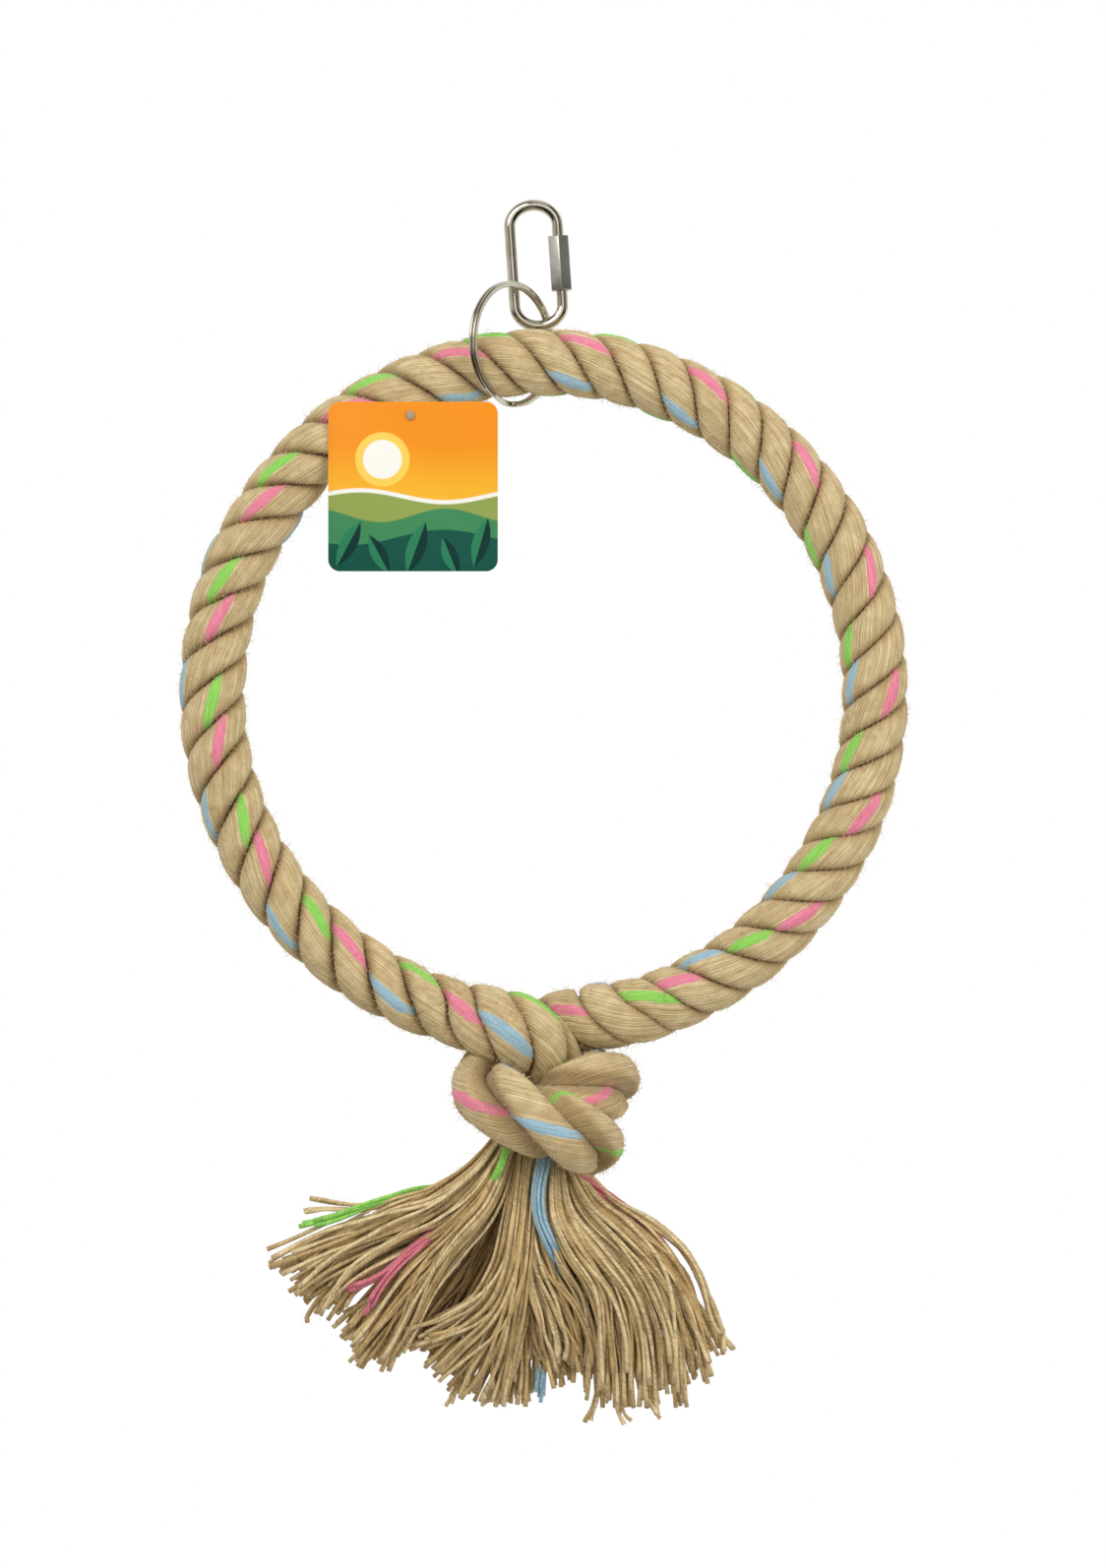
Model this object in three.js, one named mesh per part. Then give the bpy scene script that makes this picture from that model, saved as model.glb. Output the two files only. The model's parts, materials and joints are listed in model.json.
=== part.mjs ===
// Jute parrot ring: a three-strand rope laid round a wire hoop, tied below into a knot whose two ends
// fray into a tassel, hung from a split ring and a screw link, with a card tag pinned to the rope.
// Millimetres, +Z up, the viewer looks along +Y. The origin is where it hangs: inside the link's upper bow.
import * as THREE from 'three';

// Rope and ring
const ring_outer_diameter = 250;
const rope_diameter = 22.5;
const lays_round_ring = 17;
const strand_count = 3;
const strand_clearance = 0.4;
const core_clearance = 0.3;
const cut_clearance = 0.3;
const ring_centre_x = 3.9;
const pink_start_turn = 190;
const lay_lag_at_top = 100;
const strand_sides = 7;
const steps_per_lay = 10;

// Knot and tassel
const knot_route_rope = 22.5;
const knot_half_angle = 20;
const tail_lead = 7.5;
const tail_samples = 400;
const lay_opens_left = 33;
const lay_opens_right = 21;
const lay_opening = 35;
const knot_lay_share = 0.5;
const knot_slack = 0.3;
const tassel_root_width = 16;
const tassel_root_depth = 9;
const tassel_belly_depth = 18;
const tassel_tip_depth = 13;
const yarn_ridge = 0.6;
const yarn_ridges_round_lock = 5;
const lock_gap = 0.5;

// Screw link
const link_length = 45;
const link_width = 23;
const link_wire = 3.2;
const link_leg = 27.4;
const link_tilt = 3.8;
const link_mouth = 6;
const nut_length = 18.9;
const nut_across_flats = 7;
const nut_top_drop = 9.3;
const nut_grip = 2.2;
const nut_clearance = 0.35;
const nut_chamfer = 0.5;

// Split ring
const split_turn = 50;
const split_wire_radial = 2;
const split_wire_axial = 1;
const split_turn_gap = 0.5;
const split_steps_per_turn = 30;
const split_step_angle = 250;
const split_step_span = 30;
const split_end_gap = 3;
const split_rope_clearance = 1.1;
const split_lift = 6.6;
const split_centre_x = -6.8;
const split_rope_drop = 5.3;
const split_ahead_of_link = 10.9;

// Tag
const tag_side = 57.8;
const tag_corner = 4;
const tag_thickness = 0.9;
const tag_hole_diameter = 2.4;
const tag_hole_from_left = 28;
const tag_hole_from_top = 4.7;
const tag_rope_clearance = 0.3;
const tag_hole_x = -41.5;
const tag_hole_inset = 9;
const pin_head_diameter = 3.2;
const pin_head_height = 0.7;
const pin_shank_diameter = 1.6;
const pin_clearance = 0.3;

const radians = THREE.MathUtils.degToRad;
const full_turn = 2 * Math.PI;
const part = new THREE.Group();

const nickel = new THREE.MeshStandardMaterial({ color: 0xc9c6bf, roughness: 0.22, metalness: 1 });
const brushed_zinc = new THREE.MeshStandardMaterial({ color: 0x8e8f90, roughness: 0.5, metalness: 1 });
const core_steel = new THREE.MeshStandardMaterial({ color: 0x9a9b9c, roughness: 0.45, metalness: 1 });
const jute = new THREE.MeshStandardMaterial({ color: 0xb89e73, roughness: 0.95, metalness: 0 });
const card = new THREE.MeshStandardMaterial({ color: 0xf08a2c, roughness: 0.6, metalness: 0 });
const nylon = new THREE.MeshStandardMaterial({ color: 0xad997a, roughness: 0.4, metalness: 0 });

// Joins rings of points into one closed solid with flat ends, its faces pointing out.
function skin(rings) {
  const sides = rings[0].length;
  const corners = rings.flat();
  const faces = [];
  for (let ring = 0; ring + 1 < rings.length; ring += 1) {
    for (let side = 0; side < sides; side += 1) {
      const a = ring * sides + side;
      const b = ring * sides + ((side + 1) % sides);
      faces.push(a, b, b + sides, a, b + sides, a + sides);
    }
  }
  const last = (rings.length - 1) * sides;
  for (const [start, flip] of [[0, true], [last, false]]) {
    const middle = new THREE.Vector3();
    for (let side = 0; side < sides; side += 1) {
      middle.addScaledVector(corners[start + side], 1 / sides);
    }
    const centre = corners.push(middle) - 1;
    for (let side = 0; side < sides; side += 1) {
      const a = start + side;
      const b = start + ((side + 1) % sides);
      faces.push(...(flip ? [centre, b, a] : [centre, a, b]));
    }
  }
  let volume = 0;
  for (let face = 0; face < faces.length; face += 3) {
    const [a, b, c] = [corners[faces[face]], corners[faces[face + 1]], corners[faces[face + 2]]];
    volume += a.dot(b.clone().cross(c));
  }
  const geometry = new THREE.BufferGeometry().setFromPoints(corners);
  geometry.setIndex(volume < 0 ? faces.reverse() : faces);
  geometry.computeVertexNormals();
  return geometry;
}

function add(name, geometry, material, parent = part) {
  const mesh = new THREE.Mesh(geometry, material);
  mesh.name = name;
  parent.add(mesh);
  return mesh;
}

// A round wire along points: each ring of the skin stands square to the line.
function wire(curve, steps, sides, radius) {
  const frames = curve.computeFrenetFrames(steps, false);
  const rings = [];
  for (let step = 0; step <= steps; step += 1) {
    const centre = curve.getPointAt(step / steps);
    const ring = [];
    for (let side = 0; side < sides; side += 1) {
      const turn = (side / sides) * full_turn;
      ring.push(centre.clone()
        .addScaledVector(frames.normals[step], radius * Math.cos(turn))
        .addScaledVector(frames.binormals[step], radius * Math.sin(turn)));
    }
    rings.push(ring);
  }
  return skin(rings);
}

// Where the pieces hang: link, then split ring, then rope
const rope_radius = rope_diameter / 2;
const ring_radius = ring_outer_diameter / 2 - rope_radius;
const lay_length = (full_turn * ring_radius) / lays_round_ring;
const link_foot_z = link_wire - link_length;
const split_turn_angle = radians(split_turn);
const split_along = new THREE.Vector3(Math.cos(split_turn_angle), Math.sin(split_turn_angle), 0);
const split_axis = new THREE.Vector3(-Math.sin(split_turn_angle), Math.cos(split_turn_angle), 0);
const split_centre = new THREE.Vector3(split_centre_x, -split_ahead_of_link, link_foot_z - split_rope_drop);
const rope_at_split_x = split_centre_x - ring_centre_x;
const rope_sag_at_split = ring_radius - Math.sqrt(ring_radius ** 2 - rope_at_split_x ** 2);
const ring_centre = new THREE.Vector3(
  ring_centre_x, split_centre.y, split_centre.z - split_lift + rope_sag_at_split - ring_radius);

// The rope's line: left tail, ring and right tail on one running length that is 0 where the ring starts.
const ring_start = radians(270 - knot_half_angle);
const ring_length = ring_radius * (full_turn - 2 * radians(knot_half_angle));
const knot_scale = rope_diameter / knot_route_rope;
const knot_origin = new THREE.Vector3(ring_centre.x, ring_centre.y, ring_centre.z - ring_radius);

// Routes of the two ends through the knot, from the ring outwards, measured from the ring's lowest point.
// The last number of each is the rope's thickness there as a share: it is squeezed where the knot grips it.
const left_route = [
  [-24, -2.2, 2.8, 1], [-16.5, -4.4, 1, 1], [-10.5, -4.6, -2, 0.97], [-5.3, -2.8, -6.8, 0.89],
  [-0.7, 1.7, -11.2, 0.8], [3.5, 6.3, -14.4, 0.73], [9, 9.2, -17, 0.73], [15.5, 9.6, -17.8, 0.75],
  [21.3, 6.5, -17.8, 0.77], [24, 0.3, -17.2, 0.79], [23, -6.5, -17.4, 0.8], [18.8, -11.3, -18.3, 0.79],
  [12.5, -13, -19.6, 0.77], [6.3, -11.8, -21.6, 0.73], [1.5, -8, -24.6, 0.69], [-1, -4, -29, 0.65],
  [-1.3, -1.5, -34, 0.62], [-0.7, -0.3, -39, 0.6], [0, 0, -44, 0.6],
];
const right_route = [
  [24, 2.4, 3.2, 1], [16.5, 6.8, 2, 0.96], [9, 12.4, 0.8, 0.87], [1.5, 17, -1.4, 0.79],
  [-6, 17.4, -4.8, 0.75], [-12.5, 14.1, -10.5, 0.76], [-17.8, 7.6, -15.6, 0.81], [-20.6, -0.5, -19.2, 0.9],
  [-20.6, -9.5, -21.3, 0.97], [-16.8, -17.8, -23.8, 1], [-10.3, -23.8, -26.8, 1], [-3, -26.8, -30.2, 1],
  [5, -26.3, -34, 0.98], [12, -21.5, -37.2, 0.94], [16.8, -14, -39.8, 0.88], [18.4, -6, -43.6, 0.79],
  [17.4, 0.3, -49.3, 0.7], [16.5, 2, -56, 0.62],
];

function ringFrame(length) {
  const angle = ring_start - length / ring_radius;
  const normal = new THREE.Vector3(Math.cos(angle), 0, Math.sin(angle));
  const tangent = new THREE.Vector3(Math.sin(angle), 0, -Math.cos(angle));
  const centre = ring_centre.clone().addScaledVector(normal, ring_radius);
  return { centre, tangent, normal, scale: 1 };
}

// Samples a tail from the ring outwards and carries the ring's own normal along it without twist.
function tailLine(route, start, heading) {
  const onRing = (leads) => ringFrame(start + heading * leads * tail_lead).centre;
  const points = [onRing(-2), onRing(-1), onRing(0), onRing(1)];
  const shares = points.map(() => new THREE.Vector3(1, 0, 0));
  for (const [x, y, z, share] of route) {
    points.push(knot_origin.clone().addScaledVector(new THREE.Vector3(x, y, z), knot_scale));
    shares.push(new THREE.Vector3(share, 0, 0));
  }
  const curve = new THREE.CatmullRomCurve3(points);
  const thickness = new THREE.CatmullRomCurve3(shares);
  const line = [];
  let normal = ringFrame(start - heading * 2 * tail_lead).normal;
  let travelled = -2 * tail_lead;
  let before = points[0];
  for (let sample = 0; sample <= tail_samples; sample += 1) {
    const at = sample / tail_samples;
    const centre = curve.getPoint(at);
    const tangent = curve.getTangent(at).multiplyScalar(heading);
    normal = normal.clone().addScaledVector(tangent, -normal.dot(tangent)).normalize();
    travelled += centre.distanceTo(before);
    before = centre;
    line.push({ centre, tangent, normal, travelled, scale: thickness.getPoint(at).x });
  }
  return line;
}

const left_tail = tailLine(left_route, 0, -1);
const right_tail = tailLine(right_route, ring_length, 1);
const left_length = left_tail.at(-1).travelled;
const right_length = right_tail.at(-1).travelled;

function tailFrame(line, travelled) {
  const found = line.findIndex((at) => at.travelled >= travelled);
  const next = found < 0 ? line.length - 1 : Math.max(found, 1);
  const [a, b] = [line[next - 1], line[next]];
  const share = (travelled - a.travelled) / (b.travelled - a.travelled);
  return {
    centre: a.centre.clone().lerp(b.centre, share),
    tangent: a.tangent.clone().lerp(b.tangent, Math.min(share, 1)).normalize(),
    normal: a.normal.clone().lerp(b.normal, Math.min(share, 1)).normalize(),
    scale: THREE.MathUtils.lerp(a.scale, b.scale, share),
  };
}

function ropeFrame(length) {
  if (length < 0) {
    return tailFrame(left_tail, -length);
  }
  return length > ring_length ? tailFrame(right_tail, length - ring_length) : ringFrame(length);
}

// Strands: the helix radius at which three round strands just clear each other and fill the rope.
const lay_rate = full_turn / lay_length;

function neighbourDistance(helix_radius) {
  let least = Infinity;
  for (let share = -0.5; share <= 0.5; share += 0.005) {
    const turn = full_turn / strand_count + share * full_turn;
    const apart = Math.hypot(2 * helix_radius * Math.sin(turn / 2), share * lay_length);
    least = Math.min(least, apart);
  }
  return least;
}

function strandRadius(helix_radius) {
  return (neighbourDistance(helix_radius) - strand_clearance) / 2;
}

function helixRadius() {
  let low = 0;
  let high = rope_radius;
  while (high - low > 0.0001) {
    const middle = (low + high) / 2;
    if (middle + strandRadius(middle) > rope_radius) {
      high = middle;
    } else {
      low = middle;
    }
  }
  return low;
}

const helix_radius = helixRadius();
const strand_radius = strandRadius(helix_radius);

// The lay is as tight as the ring's where a tail starts, and opens out inside the knot.
function layOpened(travelled, opens_at) {
  return THREE.MathUtils.clamp((travelled / knot_scale - opens_at) / lay_opening, 0, 1);
}

function layRate(length) {
  const left_opened = layOpened(-length, lay_opens_left);
  const right_opened = layOpened(length - ring_length, lay_opens_right);
  const opened = Math.max(left_opened, right_opened);
  return lay_rate * THREE.MathUtils.lerp(1, knot_lay_share, opened ** 2 * (3 - 2 * opened));
}

function tailTurn(travelled, opens_at) {
  const opened = layOpened(travelled, opens_at);
  const past = Math.max(travelled - (opens_at + lay_opening) * knot_scale, 0);
  const lost = (1 - knot_lay_share) * (lay_opening * knot_scale * (opened ** 3 - opened ** 4 / 2) + past);
  return lay_rate * (travelled - lost);
}

// Right-hand lay: the strand's turn round the rope grows along the line, and lags towards the ring's top.
function strandTurn(length, turn_offset) {
  const on_ring = THREE.MathUtils.clamp(length, 0, ring_length);
  const lag = radians(lay_lag_at_top) * Math.sin((Math.PI * on_ring) / ring_length);
  const right = tailTurn(Math.max(length - ring_length, 0), lay_opens_right);
  const left = tailTurn(Math.max(-length, 0), lay_opens_left);
  return radians(pink_start_turn) + on_ring * lay_rate - lag + right - left + turn_offset;
}

// A strand's free end, in the tassel, is cut square to the rope; its ends at the ring follow its own slant.
function strand(turn_offset, from, to, free_step) {
  const steps = Math.ceil(((to - from) / lay_length) * steps_per_lay);
  const rings = [];
  for (let step = 0; step <= steps; step += 1) {
    const along = from + ((to - from) * step) / steps;
    const turn = strandTurn(along, turn_offset);
    const slope = helix_radius * layRate(along);
    const stretch = Math.hypot(1, slope);
    const slant = step / steps === free_step ? 0 : slope;
    const radius = strand_radius - (ropeFrame(along).scale < 1 ? knot_slack : 0);
    const ring = [];
    for (let side = 0; side < strand_sides; side += 1) {
      const around = (side / strand_sides) * full_turn;
      const out = helix_radius + radius * Math.cos(around);
      const across = (radius * Math.sin(around)) / stretch;
      const length = along - across * slant;
      const { centre, tangent, normal, scale } = ropeFrame(length);
      const binormal = tangent.clone().cross(normal);
      ring.push(centre.clone()
        .addScaledVector(normal, scale * (out * Math.cos(turn) - across * Math.sin(turn)))
        .addScaledVector(binormal, scale * (out * Math.sin(turn) + across * Math.cos(turn))));
    }
    rings.push(ring);
  }
  return skin(rings);
}

const strand_offsets = { pink: 0, green: -full_turn / strand_count, blue: full_turn / strand_count };
const half_cut = cut_clearance / 2;
const rope_end = ring_length + right_length;
const lowest = { left: Infinity, right: Infinity };

function addEnd(side, colour, geometry) {
  geometry.computeBoundingBox();
  lowest[side] = Math.min(lowest[side], geometry.boundingBox.min.z);
  add(`${side}_end_strand_${colour}`, geometry, jute);
}

for (const [colour, offset] of Object.entries(strand_offsets)) {
  add(`ring_strand_${colour}`, strand(offset, half_cut, ring_length - half_cut), jute);
  addEnd('left', colour, strand(offset, -left_length, -half_cut, 0));
  addEnd('right', colour, strand(offset, ring_length + half_cut, rope_end, 1));
}

// Wire hoop inside the strands, open at the knot
const hoop_radius = helix_radius - strand_radius - core_clearance;

class HoopLine extends THREE.Curve {
  getPoint(share) {
    return ringFrame(share * ring_length).centre;
  }
}

add('core_hoop', wire(new HoopLine(), 64, 6, hoop_radius), core_steel);

// Tassel: each end's three strands open into three locks that fan out side by side.
const fan_tips = [
  [-93, -80], [-76, -99], [-46, -119], [-13, -131], [20, -135], [50, -128], [66, -109],
];

function fanEdge(root, tip) {
  const bow = new THREE.Vector2(
    THREE.MathUtils.lerp(root.x, tip.x, 0.62), THREE.MathUtils.lerp(root.y, tip.y, 0.3));
  return new THREE.QuadraticBezierCurve(root, bow, tip);
}

function fanRoot(end, place) {
  const across = (place - 0.5) * tassel_root_width * knot_scale;
  return new THREE.Vector2(end.centre.x + across, end.root_z);
}

function lock(end, first_place, last_place, first_tip, last_tip) {
  const tip = ([x, z]) => new THREE.Vector2(knot_origin.x + x, knot_origin.z + z);
  const left = fanEdge(fanRoot(end, first_place), tip(first_tip));
  const right = fanEdge(fanRoot(end, last_place), tip(last_tip));
  const steps = 8;
  const sides = 20;
  const rings = [];
  for (let step = 0; step <= steps; step += 1) {
    const share = step / steps;
    const a = left.getPoint(share);
    const b = right.getPoint(share);
    const half = b.clone().sub(a).multiplyScalar(0.5);
    const middle = a.clone().add(half);
    const room = 1 - lock_gap / half.length();
    const swell = Math.sin(Math.PI * share);
    const end_depth = THREE.MathUtils.lerp(tassel_root_depth, tassel_tip_depth, share);
    const depth = THREE.MathUtils.lerp(end_depth, tassel_belly_depth, swell * 0.8) / 2;
    const ring = [];
    for (let side = 0; side < sides; side += 1) {
      const turn = (side / sides) * full_turn;
      const ridge = yarn_ridge * share * Math.cos(turn * yarn_ridges_round_lock);
      const width = Math.cos(turn) * room;
      ring.push(new THREE.Vector3(
        middle.x + half.x * width,
        THREE.MathUtils.lerp(end.centre.y, knot_origin.y, share) - Math.sin(turn) * (depth + ridge),
        middle.y + half.y * width));
    }
    rings.push(ring);
  }
  return skin(rings);
}

const left_end = { ...ropeFrame(-left_length), root_z: lowest.left - cut_clearance };
const right_end = { ...ropeFrame(rope_end), root_z: lowest.right - cut_clearance };
const lock_order = { left: ['green', 'pink', 'blue'], right: ['blue', 'green', 'pink'] };
for (const [side, end, first] of [['left', left_end, 0], ['right', right_end, strand_count]]) {
  for (const [place, colour] of lock_order[side].entries()) {
    const tips = [fan_tips[first + place], fan_tips[first + place + 1]];
    const shape = lock(end, place / strand_count, (place + 1) / strand_count, ...tips);
    add(`tassel_${side}_lock_${colour}`, shape, jute);
  }
}

// Screw link: a bent wire with a mouth in its right leg, closed by a hexagonal sleeve nut
const link_place = new THREE.Group();
link_place.rotation.y = -radians(link_tilt);
part.add(link_place);

const bow_width = (link_width - link_wire) / 2;
const bow_height = (link_length - link_wire - link_leg) / 2;
const upper_bow_z = link_wire / 2 - bow_height;
const lower_bow_z = upper_bow_z - link_leg;
const stub_end_z = -nut_top_drop - nut_grip;
const leg_end_z = stub_end_z - link_mouth;

class LinkLine extends THREE.CurvePath {
  constructor() {
    super();
    const at = (x, z) => new THREE.Vector3(x, 0, z);
    this.add(new THREE.LineCurve3(at(bow_width, leg_end_z), at(bow_width, lower_bow_z)));
    this.add(new BowLine(lower_bow_z, -1));
    this.add(new THREE.LineCurve3(at(-bow_width, lower_bow_z), at(-bow_width, upper_bow_z)));
    this.add(new BowLine(upper_bow_z, 1));
    this.add(new THREE.LineCurve3(at(bow_width, upper_bow_z), at(bow_width, stub_end_z)));
  }
}

class BowLine extends THREE.Curve {
  constructor(z, side) {
    super();
    this.z = z;
    this.side = side;
  }

  getPoint(share) {
    const turn = share * Math.PI;
    const x = bow_width * Math.cos(turn) * -this.side;
    return new THREE.Vector3(x, 0, this.z + this.side * bow_height * Math.sin(turn));
  }
}

add('quick_link', wire(new LinkLine(), 60, 10, link_wire / 2), nickel, link_place);

function hexagon(across_flats) {
  const corner = across_flats / 2 / Math.cos(Math.PI / 6);
  const shape = new THREE.Shape();
  for (let side = 0; side < 6; side += 1) {
    const turn = side * (Math.PI / 3) + Math.PI / 6;
    const x = corner * Math.cos(turn);
    const y = corner * Math.sin(turn);
    if (side === 0) {
      shape.moveTo(x, y);
    } else {
      shape.lineTo(x, y);
    }
  }
  shape.closePath();
  return shape;
}

const nut_outline = hexagon(nut_across_flats - 2 * nut_chamfer);
const nut_bore = new THREE.Path();
nut_bore.absarc(0, 0, link_wire / 2 + nut_clearance + nut_chamfer, 0, full_turn, true);
nut_outline.holes.push(nut_bore);
const nut_shape = new THREE.ExtrudeGeometry(nut_outline, {
  depth: nut_length - 2 * nut_chamfer, steps: 1, curveSegments: 8,
  bevelSize: nut_chamfer, bevelThickness: nut_chamfer, bevelSegments: 1,
});
const nut = add('quick_link_nut', nut_shape, brushed_zinc, link_place);
nut.position.set(bow_width, 0, nut_chamfer - nut_top_drop - nut_length);

// Split ring: two flat turns of one wire that steps across from one to the other
const split_pitch = split_wire_axial + split_turn_gap;
const rope_slant = rope_radius / Math.sin(split_turn_angle);
const rope_shift = (split_pitch + split_wire_axial) / 2 / Math.tan(split_turn_angle);

function ropeReach() {
  let reach = 0;
  for (let turn = 0; turn < full_turn; turn += 0.02) {
    const along = Math.abs(rope_slant * Math.cos(turn)) + rope_shift;
    reach = Math.max(reach, Math.hypot(along, rope_radius * Math.sin(turn) - split_lift));
  }
  return reach;
}

const split_inner_radius = ropeReach() + split_rope_clearance;
const split_mean_radius = split_inner_radius + split_wire_radial / 2;

function splitPoint(turn, out, side) {
  return split_centre.clone()
    .addScaledVector(split_along, (split_mean_radius + out) * Math.cos(turn))
    .addScaledVector(new THREE.Vector3(0, 0, 1), (split_mean_radius + out) * Math.sin(turn))
    .addScaledVector(split_axis, side);
}

function splitRing() {
  const trim = split_step_span / 2 + split_end_gap;
  const sweep = 720 - 2 * trim;
  const steps = Math.round((sweep / 360) * split_steps_per_turn);
  const corner = 0.3;
  const [half_out, half_side] = [split_wire_radial / 2, split_wire_axial / 2];
  const section = [
    [half_out, half_side - corner], [half_out - corner, half_side], [corner - half_out, half_side],
    [-half_out, half_side - corner], [-half_out, corner - half_side], [corner - half_out, -half_side],
    [half_out - corner, -half_side], [half_out, corner - half_side],
  ];
  const rings = [];
  for (let step = 0; step <= steps; step += 1) {
    const angle = trim + (sweep * step) / steps;
    const rise = THREE.MathUtils.smoothstep(angle, 360 - split_step_span / 2, 360 + split_step_span / 2);
    const turn = radians(split_step_angle + angle);
    rings.push(section.map(([out, side]) => splitPoint(turn, out, side + (rise - 0.5) * split_pitch)));
  }
  return rings;
}

const split_rings = splitRing();
let split_gap = Infinity;
for (const [first, ring] of split_rings.entries()) {
  for (const other of split_rings.slice(first + split_steps_per_turn / 2)) {
    for (const a of ring) {
      for (const b of other) {
        split_gap = Math.min(split_gap, a.distanceTo(b));
      }
    }
  }
}
console.log(`split ring: least gap between its turns ${split_gap.toFixed(2)} mm`);
add('split_ring', skin(split_rings), nickel);

// Card tag in front of the rope, and the nylon pin that holds it
const tag_back_y = -rope_radius - tag_rope_clearance;
const tag_front_y = tag_back_y - tag_thickness;
const tag_hole_radius_on_ring = ring_radius - tag_hole_inset;
const tag_hole_across = tag_hole_x - ring_centre.x;
const tag_hole_z = ring_centre.z + Math.sqrt(tag_hole_radius_on_ring ** 2 - tag_hole_across ** 2);

function tagOutline() {
  const [left, top] = [-tag_hole_from_left, tag_hole_from_top];
  const [right, bottom] = [left + tag_side, top - tag_side];
  const shape = new THREE.Shape();
  shape.moveTo(left + tag_corner, bottom);
  shape.absarc(right - tag_corner, bottom + tag_corner, tag_corner, -Math.PI / 2, 0, false);
  shape.absarc(right - tag_corner, top - tag_corner, tag_corner, 0, Math.PI / 2, false);
  shape.absarc(left + tag_corner, top - tag_corner, tag_corner, Math.PI / 2, Math.PI, false);
  shape.absarc(left + tag_corner, bottom + tag_corner, tag_corner, Math.PI, 1.5 * Math.PI, false);
  const hole = new THREE.Path();
  hole.absarc(0, 0, tag_hole_diameter / 2, 0, full_turn, true);
  shape.holes.push(hole);
  return shape;
}

const tag_shape = new THREE.ExtrudeGeometry(tagOutline(), {
  depth: tag_thickness, steps: 1, curveSegments: 6, bevelEnabled: false,
});
const tag = add('hang_tag', tag_shape, card);
tag.rotation.x = Math.PI / 2;
tag.position.set(tag_hole_x, ring_centre.y + tag_back_y, tag_hole_z);

const pin_head_y = tag_front_y - pin_clearance;
const pin_tip_y = -Math.sqrt(rope_radius ** 2 - tag_hole_inset ** 2) - pin_clearance;
const pin_profile = [
  new THREE.Vector2(0, pin_head_y - pin_head_height),
  new THREE.Vector2(pin_head_diameter * 0.3, pin_head_y - pin_head_height * 0.9),
  new THREE.Vector2(pin_head_diameter / 2, pin_head_y - pin_head_height * 0.35),
  new THREE.Vector2(pin_head_diameter / 2, pin_head_y),
  new THREE.Vector2(pin_shank_diameter / 2, pin_head_y),
  new THREE.Vector2(pin_shank_diameter / 2, pin_tip_y - pin_shank_diameter / 2),
  new THREE.Vector2(0, pin_tip_y),
];
const pin = add('tag_pin', new THREE.LatheGeometry(pin_profile, 12), nylon);
pin.position.set(tag_hole_x, ring_centre.y, tag_hole_z);

export default part;
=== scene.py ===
"""Dresses the jute parrot ring: rope laid from single yarns round a hoop, a knot that frays into a tassel,
a nickel screw link and split ring to hang it by, and a printed card tag. Metres, in the solids' own frame."""
import json
import math

import bpy
import numpy as np
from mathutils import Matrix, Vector


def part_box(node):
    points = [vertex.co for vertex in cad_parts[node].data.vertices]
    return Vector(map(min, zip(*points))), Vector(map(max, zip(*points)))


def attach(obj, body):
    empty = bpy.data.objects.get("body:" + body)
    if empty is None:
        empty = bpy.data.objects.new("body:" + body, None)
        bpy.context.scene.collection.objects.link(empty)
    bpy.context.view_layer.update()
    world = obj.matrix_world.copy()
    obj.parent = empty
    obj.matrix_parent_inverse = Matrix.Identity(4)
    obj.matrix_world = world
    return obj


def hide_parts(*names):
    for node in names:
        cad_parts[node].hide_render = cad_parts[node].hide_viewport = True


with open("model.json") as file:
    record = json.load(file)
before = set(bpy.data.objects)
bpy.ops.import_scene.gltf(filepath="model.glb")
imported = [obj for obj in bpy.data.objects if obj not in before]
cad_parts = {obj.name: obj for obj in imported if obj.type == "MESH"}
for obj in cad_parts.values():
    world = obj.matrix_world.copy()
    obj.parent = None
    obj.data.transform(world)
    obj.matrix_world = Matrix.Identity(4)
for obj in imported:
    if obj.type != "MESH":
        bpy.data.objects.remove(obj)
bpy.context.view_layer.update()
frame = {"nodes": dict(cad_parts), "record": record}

mm = 0.001
full_turn = 2 * math.pi

# Photograph: its frame, and the point and scale that set the camera
photo_width, photo_height = 1124, 1594
photo_scale = 0.3378 * mm
photo_origin = (541, 210.5)
camera_distance = 1.6
sensor_long_side = 36.0

# Rope and ring
ring_outer_diameter = 250 * mm
rope_diameter = 22.5 * mm
lays_round_ring = 17
strand_clearance = 0.4 * mm
ring_centre_x = 3.9 * mm
pink_start_turn = 190
lay_lag_at_top = 100
knot_half_angle = 20
tail_lead = 7.5 * mm
tail_samples = 400
ring_samples = 2000
lay_opens_left = 33 * mm
lay_opens_right = 21 * mm
lay_opening = 35 * mm
knot_lay_share = 0.5
knot_swell = 0.12
swell_starts = 5 * mm
swell_full = 40 * mm
nudges_at_start = [(-60, 0), (-15, 28), (60, 0)]
nudges_at_end = [(-50, 0), (-8, -24), (26, 10), (60, 0)]

# Room light: its tint, its level in front and behind, and what metal sees of it across and up, from -1 to 1
room_tint = (250, 249, 246)
room_front = 0.43
room_back = 0.78
room_change = (-0.6, 0.5)
back_mirrored = 1.0
back_edge = (-0.15, 0.2)
window_level = 1.25
window_across = [(-1, 0.56), (-0.62, 0.6), (-0.54, 0.02), (-0.36, 0.02), (-0.28, 0.5), (-0.09, 0.4),
                 (-0.01, 1), (0.38, 1), (0.46, 0.04), (0.58, 0.04), (0.64, 0.2), (1, 0.22)]
window_upright = [(-1, 0.3), (-0.27, 0.02), (-0.05, 0.9), (0.35, 1), (0.67, 0.3), (1, 0.6)]

# Lamps
key_place = (-0.7, -1.3, 0.75)
key_watts = 14.4
fill_place = (1.0, -1.2, 0.1)
fill_watts = 9.8
lamp_size = 1.2

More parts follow.
